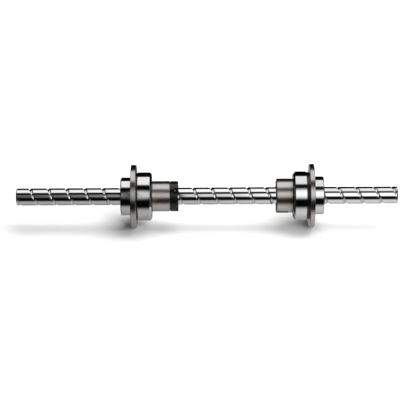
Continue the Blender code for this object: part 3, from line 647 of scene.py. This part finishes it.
def close_shaft_end(bm, x, side):
    """Closes one end: the face runs in to a centre hole with a cone and a drilled tip."""
    rim = [edge for edge in bm.edges if edge.is_boundary and
           all(abs(vert.co.x - x) < 0.0000005 for vert in edge.verts)]
    stages = ((0.0, CENTRE_HOLE_R), (CENTRE_HOLE_R * 0.6, CENTRE_HOLE_R * 0.4),
              (CENTRE_HOLE_DEPTH, CENTRE_HOLE_R * 0.4))
    for depth, radius in stages:
        made = bmesh.ops.extrude_edge_only(bm, edges=rim)["geom"]
        for vert in (part for part in made if isinstance(part, bmesh.types.BMVert)):
            angle = atan2(vert.co.z, vert.co.y)
            vert.co = Vector((x - side * depth, radius * cos(angle), radius * sin(angle)))
        rim = [part for part in made if isinstance(part, bmesh.types.BMEdge) and part.is_boundary]
    bmesh.ops.contextual_create(bm, geom=rim)


def helix_point(x, radius):
    return round_axis(x, radius, (x - GROOVE_START) / LEAD * 360.0)


def track_tube(bm, low, high):
    """Adds the round bar that the balls' track leaves in the nut's bore."""
    steps = ceil((high - low) / LEAD * 48)
    sides = 12
    rings = []
    for step in range(steps + 1):
        x = low + (high - low) * step / steps
        centre = helix_point(x, BALL_CIRCLE_R)
        along = (helix_point(x + 0.01 * MM, BALL_CIRCLE_R) - centre).normalized()
        out = Vector((0.0, centre.y, centre.z)).normalized()
        across = along.cross(out).normalized()
        rings.append([bm.verts.new(centre + out * (GROOVE_R * cos(tau * k / sides)) +
                                   across * (GROOVE_R * sin(tau * k / sides)))
                      for k in range(sides)])
    for ring, following in zip(rings, rings[1:]):
        for k in range(sides):
            m = (k + 1) % sides
            bm.faces.new((ring[k], ring[m], following[m], following[k]))
    bm.faces.new(rings[0])
    bm.faces.new(rings[-1])
    bmesh.ops.recalc_face_normals(bm, faces=bm.faces)


def balls(name, centres, radius, material):
    bm = bmesh.new()
    for centre in centres:
        bmesh.ops.create_icosphere(bm, subdivisions=3, radius=radius,
                                   matrix=Matrix.Translation(centre))
    item = link(name, mesh_from(bm, name), (material,))
    item.data.shade_smooth()
    return item


# ---- one rotary nut unit ----------------------------------------------------------------------


def row_stations(unit):
    return unit["flange_outer"] - ROW_INSET, unit["ring_end"] + ROW_INSET


def nut_span(unit):
    """Stations of the nut's two cap seats, between which the thread runs."""
    sunk = 0.0 if unit["exposed_cap"] else RECESSED_CAP_DEPTH
    return unit["tail_end"] + sunk, unit["collar_face"] - CAP_SEAT_DEPTH


def circuit_span(unit):
    low, high = nut_span(unit)
    middle = unit["side"] * (low + high) / 2
    return middle - LEAD * CIRCUIT_TURNS / 2, middle + LEAD * CIRCUIT_TURNS / 2


def raceway(station, wall_r, outward):
    depth = abs(ROW_CIRCLE_R - wall_r)
    edge = atan2(depth, sqrt(RACEWAY_R ** 2 - depth ** 2)) / pi * 180.0
    start, end = (180.0 - edge, edge) if outward else (180.0 + edge, 360.0 - edge)
    return arc((station, ROW_CIRCLE_R), RACEWAY_R, start, end, 10)


def ring_outline(unit):
    outer, inner = unit["flange_outer"], unit["flange_inner"]
    relief, end = unit["relief_end"], unit["ring_end"]
    outer_row, inner_row = row_stations(unit)
    seat = SEAL_WIDTH + GAP
    outline = [
        (end, SEAT_R, EDGE),
        (end, PILOT_R - PILOT_CHAMFER, 0.25 * MM),
        (end + PILOT_CHAMFER, PILOT_R, 0.35 * MM),
        (relief, PILOT_R, FINE_EDGE),
        (relief + 0.4 * MM, PILOT_R - RELIEF_DEPTH, EDGE),
        (inner + CORNER_DEPTH, PILOT_R - RELIEF_DEPTH, EDGE),
        (inner + CORNER_DEPTH, PILOT_R + CORNER_REACH, 0.05 * MM),
        (inner, PILOT_R + CORNER_REACH, 0.1 * MM),
        (inner, FLANGE_R - 0.5 * MM, 0.12 * MM),
        (inner + 0.5 * MM, FLANGE_R, EDGE),
        (outer - 0.5 * MM, FLANGE_R, EDGE),
        (outer, FLANGE_R - 0.5 * MM, 0.12 * MM),
        (outer, SEAT_R, EDGE),
        (outer - seat, SEAT_R, 0.0),
        (outer - seat, RING_BORE_R, 0.0),
    ]
    outline += reversed(raceway(outer_row, RING_BORE_R, True))
    outline += reversed(raceway(inner_row, RING_BORE_R, True))
    outline += [(end + seat, RING_BORE_R, 0.0), (end + seat, SEAT_R, 0.0)]
    return outline


def make_flange_ring(unit, materials):
    side, outer, inner = unit["side"], unit["flange_outer"], unit["flange_inner"]
    item = turned(unit["name"] + "_flange_ring_finished", unit, ring_outline(unit),
                  (materials["polished"], materials["rim"], materials["face"],
                   materials["relief"]))

    def grease_hole(bm):
        middle = side * (inner + outer) / 2
        bore_in(bm, GREASE_HOLE_R, middle, FLANGE_R - GREASE_HOLE_DEPTH,
                FLANGE_R + CUTTER_OVERRUN, GREASE_ANGLE, 24)

    hole_ring(item, FLANGE_HOLES, FLANGE_HOLE_R, FLANGE_HOLE_CIRCLE_R,
              (side * (inner - CUTTER_OVERRUN), side * (outer + CUTTER_OVERRUN)),
              ((side * inner, -side), (side * outer, side)), 32)
    cut(item, grease_hole)

    def finish_of(centre, normal):
        station = side * centre.x
        radius = sqrt(centre.y ** 2 + centre.z ** 2)
        if radius < SEAT_R + 0.3 * MM:
            return 0
        if station < unit["relief_end"]:
            return 2 if abs(normal.x) > 0.9 else 0
        # Painted shade: the relief groove next to the flange takes the near-black relief steel.
        if radius < PILOT_R + 0.1 * MM and station < inner + 0.01 * MM:
            return 3
        return 1 if radius > FLANGE_R - 0.7 * MM else 2

    paint(item, finish_of)
    finish(item)
    return place(item, unit["name"] + "_flange_ring", unit["name"] + "_flange")


def make_grease_plug(unit, materials):
    middle = unit["side"] * (unit["flange_inner"] + unit["flange_outer"]) / 2
    name = unit["name"] + "_grease_plug"
    top = FLANGE_R - PLUG_SINK
    bm = bmesh.new()
    bore_in(bm, GREASE_HOLE_R - GAP, middle, FLANGE_R - GREASE_HOLE_DEPTH + GAP, top,
            GREASE_ANGLE, 24)
    item = link(name + "_finished", mesh_from(bm, name), (materials["blackened"],))
    cut(item, lambda bm: bore_in(bm, PLUG_SOCKET_R, middle, top - PLUG_SOCKET_DEPTH, top + MM,
                                 GREASE_ANGLE, 6))
    finish(item)
    return place(item, name, unit["name"] + "_flange")


def make_bearing_seals(unit, materials):
    """Rubber rings between the flange ring and the nut, with a groove round their face."""
    lip_r, rim_r = JOURNAL_R + 0.4 * MM, SEAT_R - 0.05 * MM
    for place_name, low, sign in (("outer", unit["flange_outer"] - SEAL_WIDTH, 1),
                                  ("inner", unit["ring_end"], -1)):
        back, front = (low, low + SEAL_WIDTH) if sign > 0 else (low + SEAL_WIDTH, low)
        front -= sign * 0.2 * MM
        middle = (lip_r + rim_r) / 2
        outline = [
            (back, rim_r, 0.0),
            (front, rim_r, FINE_EDGE),
            (front, middle + 0.5 * MM, 0.1 * MM),
            (front - sign * 0.4 * MM, middle, EDGE),
            (front, middle - 0.5 * MM, 0.1 * MM),
            (front - sign * 0.5 * MM, lip_r, 0.08 * MM),
            (back, lip_r + 0.4 * MM, 0.0),
        ]
        node = f"{unit['name']}_{place_name}_bearing_seal"
        item = turned(node + "_finished", unit, outline, (materials["seal"],))
        finish(item)
        place(item, node, unit["name"] + "_flange")


def make_bearing_rows(unit, materials):
    """Each row: a cage band pierced by its balls."""
    for place_name, station in zip(("outer", "inner"), row_stations(unit)):
        node = f"{unit['name']}_{place_name}_ball_cage"
        x = unit["side"] * station
        outline = [(station + along * CAGE_WIDTH / 2, ROW_CIRCLE_R + out * CAGE_THICKNESS / 2,
                    CAGE_EDGE)
                   for along, out in ((-1, -1), (-1, 1), (1, 1), (1, -1))]
        band = turned(node + "_band", unit, outline, (materials["cage"],), 96)
        centres = [round_axis(x, ROW_CIRCLE_R, 360.0 * index / ROW_BALLS)
                   for index in range(ROW_BALLS)]

        def windows(bm):
            for index in range(ROW_BALLS):
                angle = 360.0 * index / ROW_BALLS
                bore_in(bm, ROW_BALL_R + CAGE_PLAY, x, ROW_CIRCLE_R - CUTTER_OVERRUN,
                        ROW_CIRCLE_R + CUTTER_OVERRUN, angle, 24)

        cut(band, windows)
        finish(band)
        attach(band, unit["name"] + "_cages")
        row = balls(node + "_balls", centres, ROW_BALL_R, materials["ball"])
        place(row, node, unit["name"] + "_cages")


def nut_outline(unit):
    face, flange, end = unit["collar_face"], unit["flange_outer"], unit["ring_end"]
    tail, tail_r = unit["tail_end"], unit["tail_r"]
    outer_row, inner_row = row_stations(unit)
    bore_low, bore_high = nut_span(unit)
    outline = [(bore_low, NUT_BORE_R, 0.0)]
    if not unit["exposed_cap"]:
        outline += [(bore_low, RECESSED_CAP_R, 0.0), (tail, RECESSED_CAP_R, FINE_EDGE)]
    outline += [
        (tail, tail_r - 0.9 * MM, SOFT_EDGE),
        (tail + 0.9 * MM, tail_r, 0.5 * MM),
        (end - 1.0 * MM, tail_r, SOFT_EDGE),
        (end - 0.4 * MM, tail_r - 0.5 * MM, 0.1 * MM),
        (end + 0.2 * MM, tail_r - 0.5 * MM, 0.0),
        (end + 0.2 * MM, JOURNAL_R - 0.4 * MM, 0.0),
        (end + 0.6 * MM, JOURNAL_R, 0.0),
    ]
    outline += raceway(inner_row, JOURNAL_R, False)
    outline += raceway(outer_row, JOURNAL_R, False)
    outline += [
        (flange + 0.2 * MM, JOURNAL_R, 0.0),
        (flange + 0.4 * MM, COLLAR_R - 0.4 * MM, 0.0),
        (flange + 0.8 * MM, COLLAR_R, EDGE),
        (face - 1.0 * MM, COLLAR_R, 0.6 * MM),
        (face, COLLAR_R - 1.0 * MM, 0.4 * MM),
        (face, CAP_SEAT_R, FINE_EDGE),
        (bore_high, CAP_SEAT_R, 0.0),
        (bore_high, NUT_BORE_R, 0.0),
    ]
    return outline


def make_ball_nut(unit, materials):
    side, face = unit["side"], unit["side"] * unit["collar_face"]
    low, high = nut_span(unit)
    item = turned(unit["name"] + "_ball_nut_finished", unit, nut_outline(unit),
                  (materials["polished"], materials["tail"], materials["face"],
                   materials["relief"], materials["milled"]))

    def passages(bm):
        drill(bm, RETURN_HOLE_R, side * low - side * MM, side * high + side * MM,
              RETURN_CIRCLE_R, RETURN_ANGLE, 24)
        screw_sets = [(side * high, -side, COLLAR_SCREW_ANGLES, CAP_SCREW_CIRCLE_R)]
        if unit["exposed_cap"]:
            screw_sets.append((side * low, side, POCKET_ANGLES, POCKET_SCREW_CIRCLE_R))
        else:
            screw_sets.append((side * low, side, RECESSED_SCREW_ANGLES, CAP_SCREW_CIRCLE_R))
        for mouth, into, angles, circle_r in screw_sets:
            for angle in angles:
                drill(bm, SCREW_SHANK_R + SHANK_PLAY, mouth - into * MM,
                      mouth + into * (SCREW_REACH + MM), circle_r, angle, 16)

    def notches(bm):
        for angle in LUG_ANGLES:
            block(bm, side * unit["tail_end"], RECESSED_CAP_R + NOTCH_HEIGHT / 2 - NOTCH_OVERLAP,
                  (LUG_LENGTH * 2, LUG_WIDTH + 2 * GAP, NOTCH_HEIGHT), angle)

    def slots(bm):
        flat_r = unit["tail_r"] * cos(LUG_WIDTH / 2 / unit["tail_r"])
        for angle in LUG_ANGLES:
            block(bm, side * unit["tail_end"], flat_r - SLOT_DEPTH + SLOT_HEIGHT / 2,
                  (SLOT_LENGTH * 2, LUG_WIDTH, SLOT_HEIGHT), angle)

    hole_ring(item, PULLEY_HOLES, PULLEY_HOLE_R, PULLEY_HOLE_CIRCLE_R,
              (face - side * PULLEY_HOLE_DEPTH, face + side * MM), ((face, side),), 24)
    cut(item, passages)
    cut(item, lambda bm: track_tube(bm, *circuit_span(unit)))
    if not unit["exposed_cap"]:
        cut(item, slots)
        cut(item, notches)

    def finish_of(centre, normal):
        station = side * centre.x
        radius = sqrt(centre.y ** 2 + centre.z ** 2)
        if radius < NUT_BORE_R + 2.5 * MM:
            return 0
        if station < unit["ring_end"] + 0.25 * MM:
            # Painted shade: the neck by the flange ring and the sunk cap's mouth take the
            # near-black relief steel, and the tail's slot floor takes the darkened slot steel.
            neck = station > unit["ring_end"] - 1.2 * MM and radius < unit["tail_r"] - 0.1 * MM
            mouth = not unit["exposed_cap"] and station < unit["tail_end"] + 0.85 * MM
            slot = (RECESSED_CAP_R + 0.3 * MM < radius < unit["tail_r"] - 0.1 * MM and
                    station < unit["tail_end"] + SLOT_LENGTH + 0.1 * MM)
            return 3 if neck or mouth else 4 if slot and not unit["exposed_cap"] else 1
        if station > unit["flange_outer"]:
            return 2 if abs(normal.x) > 0.9 else 0
        return 0

    paint(item, finish_of)
    finish(item)
    return place(item, unit["name"] + "_ball_nut", unit["name"] + "_nut")


def make_ball_circuit(unit, materials):
    """The loaded balls on the helix, and the balls going back through the return hole."""
    low, high = circuit_span(unit)
    turn_length = sqrt((tau * BALL_CIRCLE_R) ** 2 + LEAD ** 2)
    count = int((high - low) / LEAD * turn_length / BALL_PITCH)
    inset = LEAD * BALL_PITCH / turn_length / 2
    loaded = [helix_point(low + inset + (high - low - 2 * inset) * index / (count - 1),
                          BALL_CIRCLE_R) for index in range(count)]
    node = unit["name"] + "_loaded_balls"
    place(balls(node + "_finished", loaded, BALL_R, materials["ball"]), node,
          unit["name"] + "_nut")
    start, end = nut_span(unit)
    count = int((end - start - 2 * BALL_R) / BALL_PITCH)
    returning = []
    for index in range(count):
        station = start + BALL_R + (end - start - 2 * BALL_R) * index / (count - 1)
        returning.append(round_axis(unit["side"] * station, RETURN_CIRCLE_R, RETURN_ANGLE))
    node = unit["name"] + "_return_balls"
    place(balls(node + "_finished", returning, BALL_R, materials["ball"]), node,
          unit["name"] + "_nut")


def cap_outline(low, high, outer_r, wiper_low, wiper_high):
    """Section of an end cap ring, open at the end where its wiper sits."""
    bore = NUT_BORE_R + 0.1 * MM
    seat = WIPER_R + 0.1 * MM
    if wiper_high >= high:
        return [(low, bore, 0.0), (low, outer_r, EDGE), (high, outer_r, 0.35 * MM),
                (high, seat, FINE_EDGE), (wiper_low - GAP, seat, 0.0),
                (wiper_low - GAP, bore, 0.0)]
    return [(low, outer_r, 0.45 * MM), (high, outer_r, EDGE), (high, bore, 0.0),
            (wiper_high + GAP, bore, 0.0), (wiper_high + GAP, seat, 0.0),
            (low, seat, FINE_EDGE)]


def make_wiper(unit, where, low, high, materials):
    """A felt ring in the end cap that wipes the thread."""
    outline = [(low, NUT_BORE_R - 0.1 * MM, SOFT_EDGE), (low, WIPER_R, EDGE),
               (high, WIPER_R, 0.0), (high, NUT_BORE_R - 0.1 * MM, EDGE)]
    node = f"{unit['name']}_{where}_wiper"
    item = turned(node + "_finished", unit, outline, (materials["felt"],))
    finish(item)
    return place(item, node, unit["name"] + "_nut")


def make_screw(unit, node, head_x, into, angle, circle_r, head_r, length, materials):
    """A socket-head screw with a rounded head edge and a hexagon socket."""
    tip_x = head_x + into * length
    seat_x = head_x + into * SCREW_HEAD_HEIGHT
    bevel = 0.2 * MM
    outline = [(head_x, 0.0), (head_x, head_r - bevel), (head_x + into * bevel * 0.3,
                                                         head_r - bevel * 0.3),
               (head_x + into * bevel, head_r), (seat_x, head_r), (seat_x, SCREW_SHANK_R),
               (tip_x - into * 0.3 * MM, SCREW_SHANK_R), (tip_x, SCREW_SHANK_R - 0.3 * MM),
               (tip_x, 0.0)]
    bm = bmesh.new()
    spin(bm, outline, 32, closed=False)
    offset = round_axis(0.0, circle_r, angle)
    bmesh.ops.translate(bm, verts=bm.verts, vec=offset)
    item = link(node + "_finished", mesh_from(bm, node), (materials["brass"],))
    cut(item, lambda bm: drill(bm, SCREW_SOCKET_R, head_x + into * SCREW_SOCKET_DEPTH,
                               head_x - into * MM, circle_r, angle, 6))
    finish(item)
    return place(item, node, unit["name"] + "_nut")


def scoop(face_x):
    """Cutter for the passage that leads the balls from the thread to the return hole."""
    inner_r, outer_r = NUT_BORE_R - 2.0 * MM, RETURN_CIRCLE_R + 3.0 * MM
    return lambda bm: block(bm, face_x, (inner_r + outer_r) / 2,
                            (4.4 * MM, 2 * RETURN_HOLE_R, outer_r - inner_r), RETURN_ANGLE)


def screw_seats(face_x, into, angles, depth):
    """Cutter for the clearance holes and counterbores of a sunk cap's screws."""
    def build(bm):
        for angle in angles:
            drill(bm, SMALL_HEAD_R + HEAD_PLAY, face_x - into * MM,
                  face_x + into * (SCREW_HEAD_SINK + SCREW_HEAD_HEIGHT), CAP_SCREW_CIRCLE_R,
                  angle, 24)

    def shanks(bm):
        for angle in angles:
            drill(bm, SCREW_SHANK_R + SHANK_PLAY, face_x + into * SCREW_HEAD_SINK,
                  face_x + into * (depth + MM), CAP_SCREW_CIRCLE_R, angle, 16)

    return build, shanks


def fit_sunk_cap(unit, item, where, face_x, into, depth, angles, materials):
    """Cuts a sunk cap's ball passage and screw seats, and adds its screws."""
    cut(item, scoop(face_x + into * depth))
    for build in screw_seats(face_x, into, angles, depth):
        cut(item, build)
    finish(item)
    place(item, f"{unit['name']}_{where}_end_cap", unit["name"] + "_nut")
    for index, angle in enumerate(angles):
        make_screw(unit, f"{unit['name']}_{where}_cap_screw_{index + 1}",
                   face_x + into * SCREW_HEAD_SINK, into, angle, CAP_SCREW_CIRCLE_R,
                   SMALL_HEAD_R, depth + SCREW_REACH, materials)


def make_collar_cap(unit, materials):
    side = unit["side"]
    low = unit["collar_face"] - CAP_SEAT_DEPTH + GAP
    high = unit["collar_face"] - CAP_SINK
    node = unit["name"] + "_collar_end_cap"
    item = turned(node + "_finished", unit,
                  cap_outline(low, high, CAP_SEAT_R - 0.1 * MM, high - WIPER_WIDTH, high),
                  (materials["cap"],))
    fit_sunk_cap(unit, item, "collar", side * high, -side, high - low, COLLAR_SCREW_ANGLES,
                 materials)
    make_wiper(unit, "collar", high - WIPER_WIDTH, high - 0.3 * MM, materials)


def make_exposed_cap(unit, materials):
    side = unit["side"]
    low, high = unit["cap_end"], unit["tail_end"] - GAP
    node = unit["name"] + "_tail_end_cap"
    item = turned(node + "_finished", unit,
                  cap_outline(low, high, EXPOSED_CAP_R, low - MM, low + WIPER_WIDTH),
                  (materials["cap"],))
    seat = low + CAP_POCKET_DEPTH

    def pockets(bm):
        for angle in POCKET_ANGLES:
            block(bm, side * low, CAP_POCKET_FLOOR_R + CAP_POCKET_HEIGHT / 2,
                  (2 * CAP_POCKET_DEPTH, CAP_POCKET_WIDTH, CAP_POCKET_HEIGHT), angle)

    def shanks(bm):
        for angle in POCKET_ANGLES:
            drill(bm, SCREW_SHANK_R + SHANK_PLAY, side * (seat - MM), side * (high + MM),
                  POCKET_SCREW_CIRCLE_R, angle, 16)

    cut(item, scoop(side * high))
    cut(item, pockets)
    cut(item, shanks)
    bevel = item.modifiers.new("edges", "BEVEL")
    bevel.width = 0.12 * MM
    bevel.segments = 2
    bevel.limit_method = "ANGLE"
    bevel.angle_limit = radians(50.0)
    settle(item)
    finish(item)
    place(item, node, unit["name"] + "_nut")
    head = seat - SCREW_HEAD_HEIGHT - GAP
    for index, angle in enumerate(POCKET_ANGLES):
        make_screw(unit, f"{unit['name']}_tail_cap_screw_{index + 1}", side * head, side, angle,
                   POCKET_SCREW_CIRCLE_R, POCKET_HEAD_R, high + SCREW_REACH - head, materials)
    make_wiper(unit, "tail", low + GAP, low + WIPER_WIDTH, materials)


def make_recessed_cap(unit, materials):
    side = unit["side"]
    low = unit["tail_end"] + 0.5 * MM
    high = unit["tail_end"] + RECESSED_CAP_DEPTH - GAP
    node = unit["name"] + "_tail_end_cap"
    item = turned(node + "_finished", unit,
                  cap_outline(low, high, RECESSED_CAP_R - 0.1 * MM, low - MM,
                              low + WIPER_WIDTH), (materials["cap"],))
    lug_low, lug_high = low + 0.2 * MM, unit["tail_end"] + LUG_LENGTH - GAP
    inner_r, outer_r = RECESSED_CAP_R - 1.6 * MM, unit["tail_r"] - 0.9 * MM

    def lugs(bm):
        for angle in LUG_ANGLES:
            block(bm, side * (lug_low + lug_high) / 2, (inner_r + outer_r) / 2,
                  (lug_high - lug_low, LUG_WIDTH - GAP, outer_r - inner_r), angle)

    cut(item, lugs, "UNION")
    fit_sunk_cap(unit, item, "tail", side * low, side, high - low, RECESSED_SCREW_ANGLES,
                 materials)
    make_wiper(unit, "tail", low + GAP, low + WIPER_WIDTH, materials)


def make_unit(unit, materials):
    make_flange_ring(unit, materials)
    make_grease_plug(unit, materials)
    make_bearing_seals(unit, materials)
    make_bearing_rows(unit, materials)
    make_ball_nut(unit, materials)
    make_ball_circuit(unit, materials)
    make_collar_cap(unit, materials)
    if unit["exposed_cap"]:
        make_exposed_cap(unit, materials)
    else:
        make_recessed_cap(unit, materials)


# ---- studio -----------------------------------------------------------------------------------


def make_camera():
    data = bpy.data.cameras.new("camera")
    data.sensor_width = SENSOR
    data.lens = FOCAL_PIXELS / IMAGE_WIDTH * SENSOR
    data.clip_start = 0.05
    camera = bpy.data.objects.new("camera", data)
    bpy.context.scene.collection.objects.link(camera)
    elevation = radians(CAMERA_ELEVATION)
    camera.location = (CAMERA_X, -CAMERA_DISTANCE * cos(elevation),
                       CAMERA_DISTANCE * sin(elevation))
    pitch = Matrix.Rotation(pi / 2 - elevation - radians(CAMERA_TILT), 4, "X")
    roll = Matrix.Rotation(radians(CAMERA_ROLL), 4, "Z")
    camera.rotation_euler = (pitch @ roll).to_euler()
    bpy.context.scene.camera = camera


def stops(tree, value, points):
    """A piecewise straight curve of a value in 0 to 1, as a colour ramp of greys."""
    node = tree.nodes.new("ShaderNodeValToRGB")
    ramp = node.color_ramp
    while len(ramp.elements) > 1:
        ramp.elements.remove(ramp.elements[-1])
    ramp.elements[0].position = points[0][0]
    ramp.elements[0].color = (points[0][1],) * 3 + (1.0,)
    for position, level in points[1:]:
        element = ramp.elements.new(position)
        element.color = (level,) * 3 + (1.0,)
    tree.links.new(value, node.inputs["Fac"])
    return node.outputs["Color"]


# Brightness of the tent by angle above the front horizon, in degrees, and along it, in metres
TOP_BOX = ((74, 0.0), (78, 0.12), (82, 0.75), (86, 1.0), (127, 1.0), (132, 0.0))
TOP_BOX_ALONG = ((-1.00, 0.04), (-0.70, 0.82), (-0.20, 0.94), (0.0, 1.08), (0.12, 1.0),
                 (0.25, 0.86), (2.20, 0.82))
FRONT_PANEL = ((2, 0.0), (6, 0.04), (10, 0.14), (16, 0.44), (21, 0.70), (26, 0.86), (32, 0.96),
               (37, 1.0), (44, 0.85), (48, 0.60), (52, 0.30), (55, 0.12), (59, 0.0))
FRONT_PANEL_ALONG = ((-0.60, 0.02), (-0.50, 0.10), (-0.28, 0.13), (-0.155, 0.26), (-0.150, 0.0),
                     (-0.134, 0.0), (-0.126, 0.80), (-0.098, 0.80), (-0.092, 0.06),
                     (-0.057, 0.0), (-0.045, 0.74), (0.0, 0.80), (0.10, 0.90), (2.20, 0.90))
SIDE_PANEL = ((2, 0.0), (6, 0.06), (10, 0.42), (14, 0.90), (18, 1.0), (52, 1.0), (56, 0.75),
              (60, 0.25), (64, 0.03), (68, 0.0))
SIDE_PANEL_ALONG = ((0.05, 0.0), (0.14, 0.30), (0.22, 0.50), (2.20, 0.60))
FLOOR_GLOW = ((-155, 0.0), (-146, 0.20), (-132, 0.26), (-109, 0.33), (-87, 0.40), (-72, 0.46),
              (-58, 0.48), (-45, 0.42), (-36, 0.22), (-31, 0.07), (-27, 0.006), (-23, 0.0))
FLOOR_GLOW_ALONG = ((-1.20, 0.04), (-0.70, 0.66), (-0.50, 0.72), (-0.20, 0.84), (0.0, 1.0),
                    (0.16, 1.40), (2.20, 1.42))
BACK_FLOOR = ((-177, 0.0), (-172, 1.0), (-155, 1.0), (-148, 0.0))
BACK_FLOOR_ALONG = ((-2.20, 0.70), (0.0, 0.70), (0.12, 0.04), (2.20, 0.04))
# Name, place, aim, size in metres and power in watts
LIGHTS = (("top_box", (0.32, 0.34, 1.10), (0.0, 0.0, 0.0), (1.6, 1.15), 27.0),
          ("front_box", (0.60, -1.0, 0.60), (0.05, 0.0, 0.0), (0.9, 0.9), 17.0))
TENT_AMBIENT = 0.002
TENT_SLANT = 0.007           # how far the front panels' ends lean, for each radian
WORLD_FILL = 0.051
BACKDROP = 1.1
FLOOR_RADIUS = 1.35
FLOOR_GAP = 0.2 * MM
FLOOR_FADE = (0.36, 0.80)     # where the floor starts to turn into the white backdrop


def tent_material():
    """Soft boxes and flags round the object, as seen in its polished faces."""
    material = bpy.data.materials.new("light_tent")
    material.use_nodes = True
    tree = material.node_tree
    tree.nodes.clear()
    coordinates = tree.nodes.new("ShaderNodeTexCoord").outputs["Object"]
    split = tree.nodes.new("ShaderNodeSeparateXYZ")
    tree.links.new(coordinates, split.inputs[0])
    x, y, z = split.outputs
    front = math_node(tree, "MULTIPLY", y, -1.0)
    angle = math_node(tree, "ARCTAN2", z, front)
    around = math_node(tree, "ADD", math_node(tree, "DIVIDE", angle, tau), 0.5)
    along = math_node(tree, "ADD", math_node(tree, "DIVIDE", x, 2 * TENT_HALF_LENGTH), 0.5)
    tilt = math_node(tree, "ABSOLUTE", math_node(tree, "SUBTRACT", angle, radians(30.0)))
    slanted = math_node(tree, "ADD", along, math_node(tree, "MULTIPLY", tilt, TENT_SLANT))

    def by_angle(table):
        dark_behind = ((-180, 0.0), *table, (180, 0.0))
        return stops(tree, around, [(up / 360.0 + 0.5, v) for up, v in dark_behind])

    def by_place(table, value):
        return stops(tree, value, [(place_x / TENT_HALF_LENGTH / 2 + 0.5, v / 2)
                                   for place_x, v in table])

    total = TENT_AMBIENT
    for table, place_table, value in ((TOP_BOX, TOP_BOX_ALONG, along),
                                      (FRONT_PANEL, FRONT_PANEL_ALONG, slanted),
                                      (SIDE_PANEL, SIDE_PANEL_ALONG, along),
                                      (FLOOR_GLOW, FLOOR_GLOW_ALONG, along),
                                      (BACK_FLOOR, BACK_FLOOR_ALONG, along)):
        level = math_node(tree, "MULTIPLY", by_angle(table), by_place(place_table, value))
        total = math_node(tree, "ADD", math_node(tree, "MULTIPLY", level, 2.0), total)
    emission = tree.nodes.new("ShaderNodeEmission")
    tree.links.new(total, emission.inputs["Strength"])
    output = tree.nodes.new("ShaderNodeOutputMaterial")
    tree.links.new(emission.outputs[0], output.inputs["Surface"])
    return material


def only_reflected(item):
    item.visible_camera = False
    item.visible_diffuse = False
    item.visible_shadow = False
    item.visible_transmission = False
    item.visible_volume_scatter = False


def make_tent():
    """A cylinder of soft boxes and flags round the object, open at its right end.

    Only reflections see it.
    """
    bm = bmesh.new()
    bmesh.ops.create_cone(bm, cap_ends=True, segments=128, radius1=TENT_RADIUS,
                          radius2=TENT_RADIUS, depth=2 * TENT_HALF_LENGTH,
                          matrix=Matrix.Rotation(pi / 2, 4, "Y"))
    right_end = [face for face in bm.faces if face.calc_center_median().x > 0.9 * TENT_HALF_LENGTH]
    bmesh.ops.delete(bm, geom=right_end, context="FACES_ONLY")
    tent = link("light_tent", mesh_from(bm, "light_tent"), (tent_material(),))
    only_reflected(tent)


def make_floor():
    """A pale disc that turns into the white backdrop away from the object."""
    bm = bmesh.new()
    bmesh.ops.create_circle(bm, cap_ends=True, segments=128, radius=FLOOR_RADIUS)
    material, tree, shader = new_material("pale_floor", (0.86, 0.86, 0.86), 0.9, 0.0)
    shader.inputs["Specular IOR Level"].default_value = 0.0
    shader.inputs["Emission Color"].default_value = (1.0, 1.0, 1.0, 1.0)
    reach = tree.nodes.new("ShaderNodeVectorMath")
    reach.operation = "LENGTH"
    tree.links.new(tree.nodes.new("ShaderNodeTexCoord").outputs["Object"], reach.inputs[0])
    tree.links.new(mapped(tree, reach.outputs["Value"], 0.0, 1.0, *FLOOR_FADE),
                   shader.inputs["Emission Strength"])
    floor = link("floor", mesh_from(bm, "floor"), (material,))
    floor.location = (0.0, 0.0, cad_low.z - FLOOR_GAP)
    floor.visible_glossy = False


def area_light(name, location, target, size, power):
    data = bpy.data.lights.new(name, "AREA")
    data.shape = "RECTANGLE"
    data.size, data.size_y = size
    data.energy = power
    light = bpy.data.objects.new(name, data)
    bpy.context.scene.collection.objects.link(light)
    light.location = location
    light.rotation_euler = (Vector(target) - Vector(location)).to_track_quat("-Z", "Y").to_euler()
    light.visible_camera = False
    light.visible_glossy = False
    return light


def make_lights():
    for light in LIGHTS:
        area_light(*light)


def make_world():
    """White behind the object; a dim grey fill for everything but the camera."""
    world = bpy.data.worlds.new("studio")
    bpy.context.scene.world = world
    world.use_nodes = True
    tree = world.node_tree
    camera_ray = tree.nodes.new("ShaderNodeLightPath").outputs["Is Camera Ray"]
    background = tree.nodes["Background"]
    background.inputs["Color"].default_value = (1.0, 1.0, 1.0, 1.0)
    tree.links.new(mapped(tree, camera_ray, WORLD_FILL, BACKDROP, 0.0, 1.0),
                   background.inputs["Strength"])


def main():
    make_camera()
    materials = make_materials()
    make_shaft(materials)
    for name in ("left", "right"):
        make_unit(read_unit(name), materials)
    make_floor()
    make_tent()
    make_lights()
    make_world()
    bpy.context.scene.view_settings.view_transform = "Standard"


main()
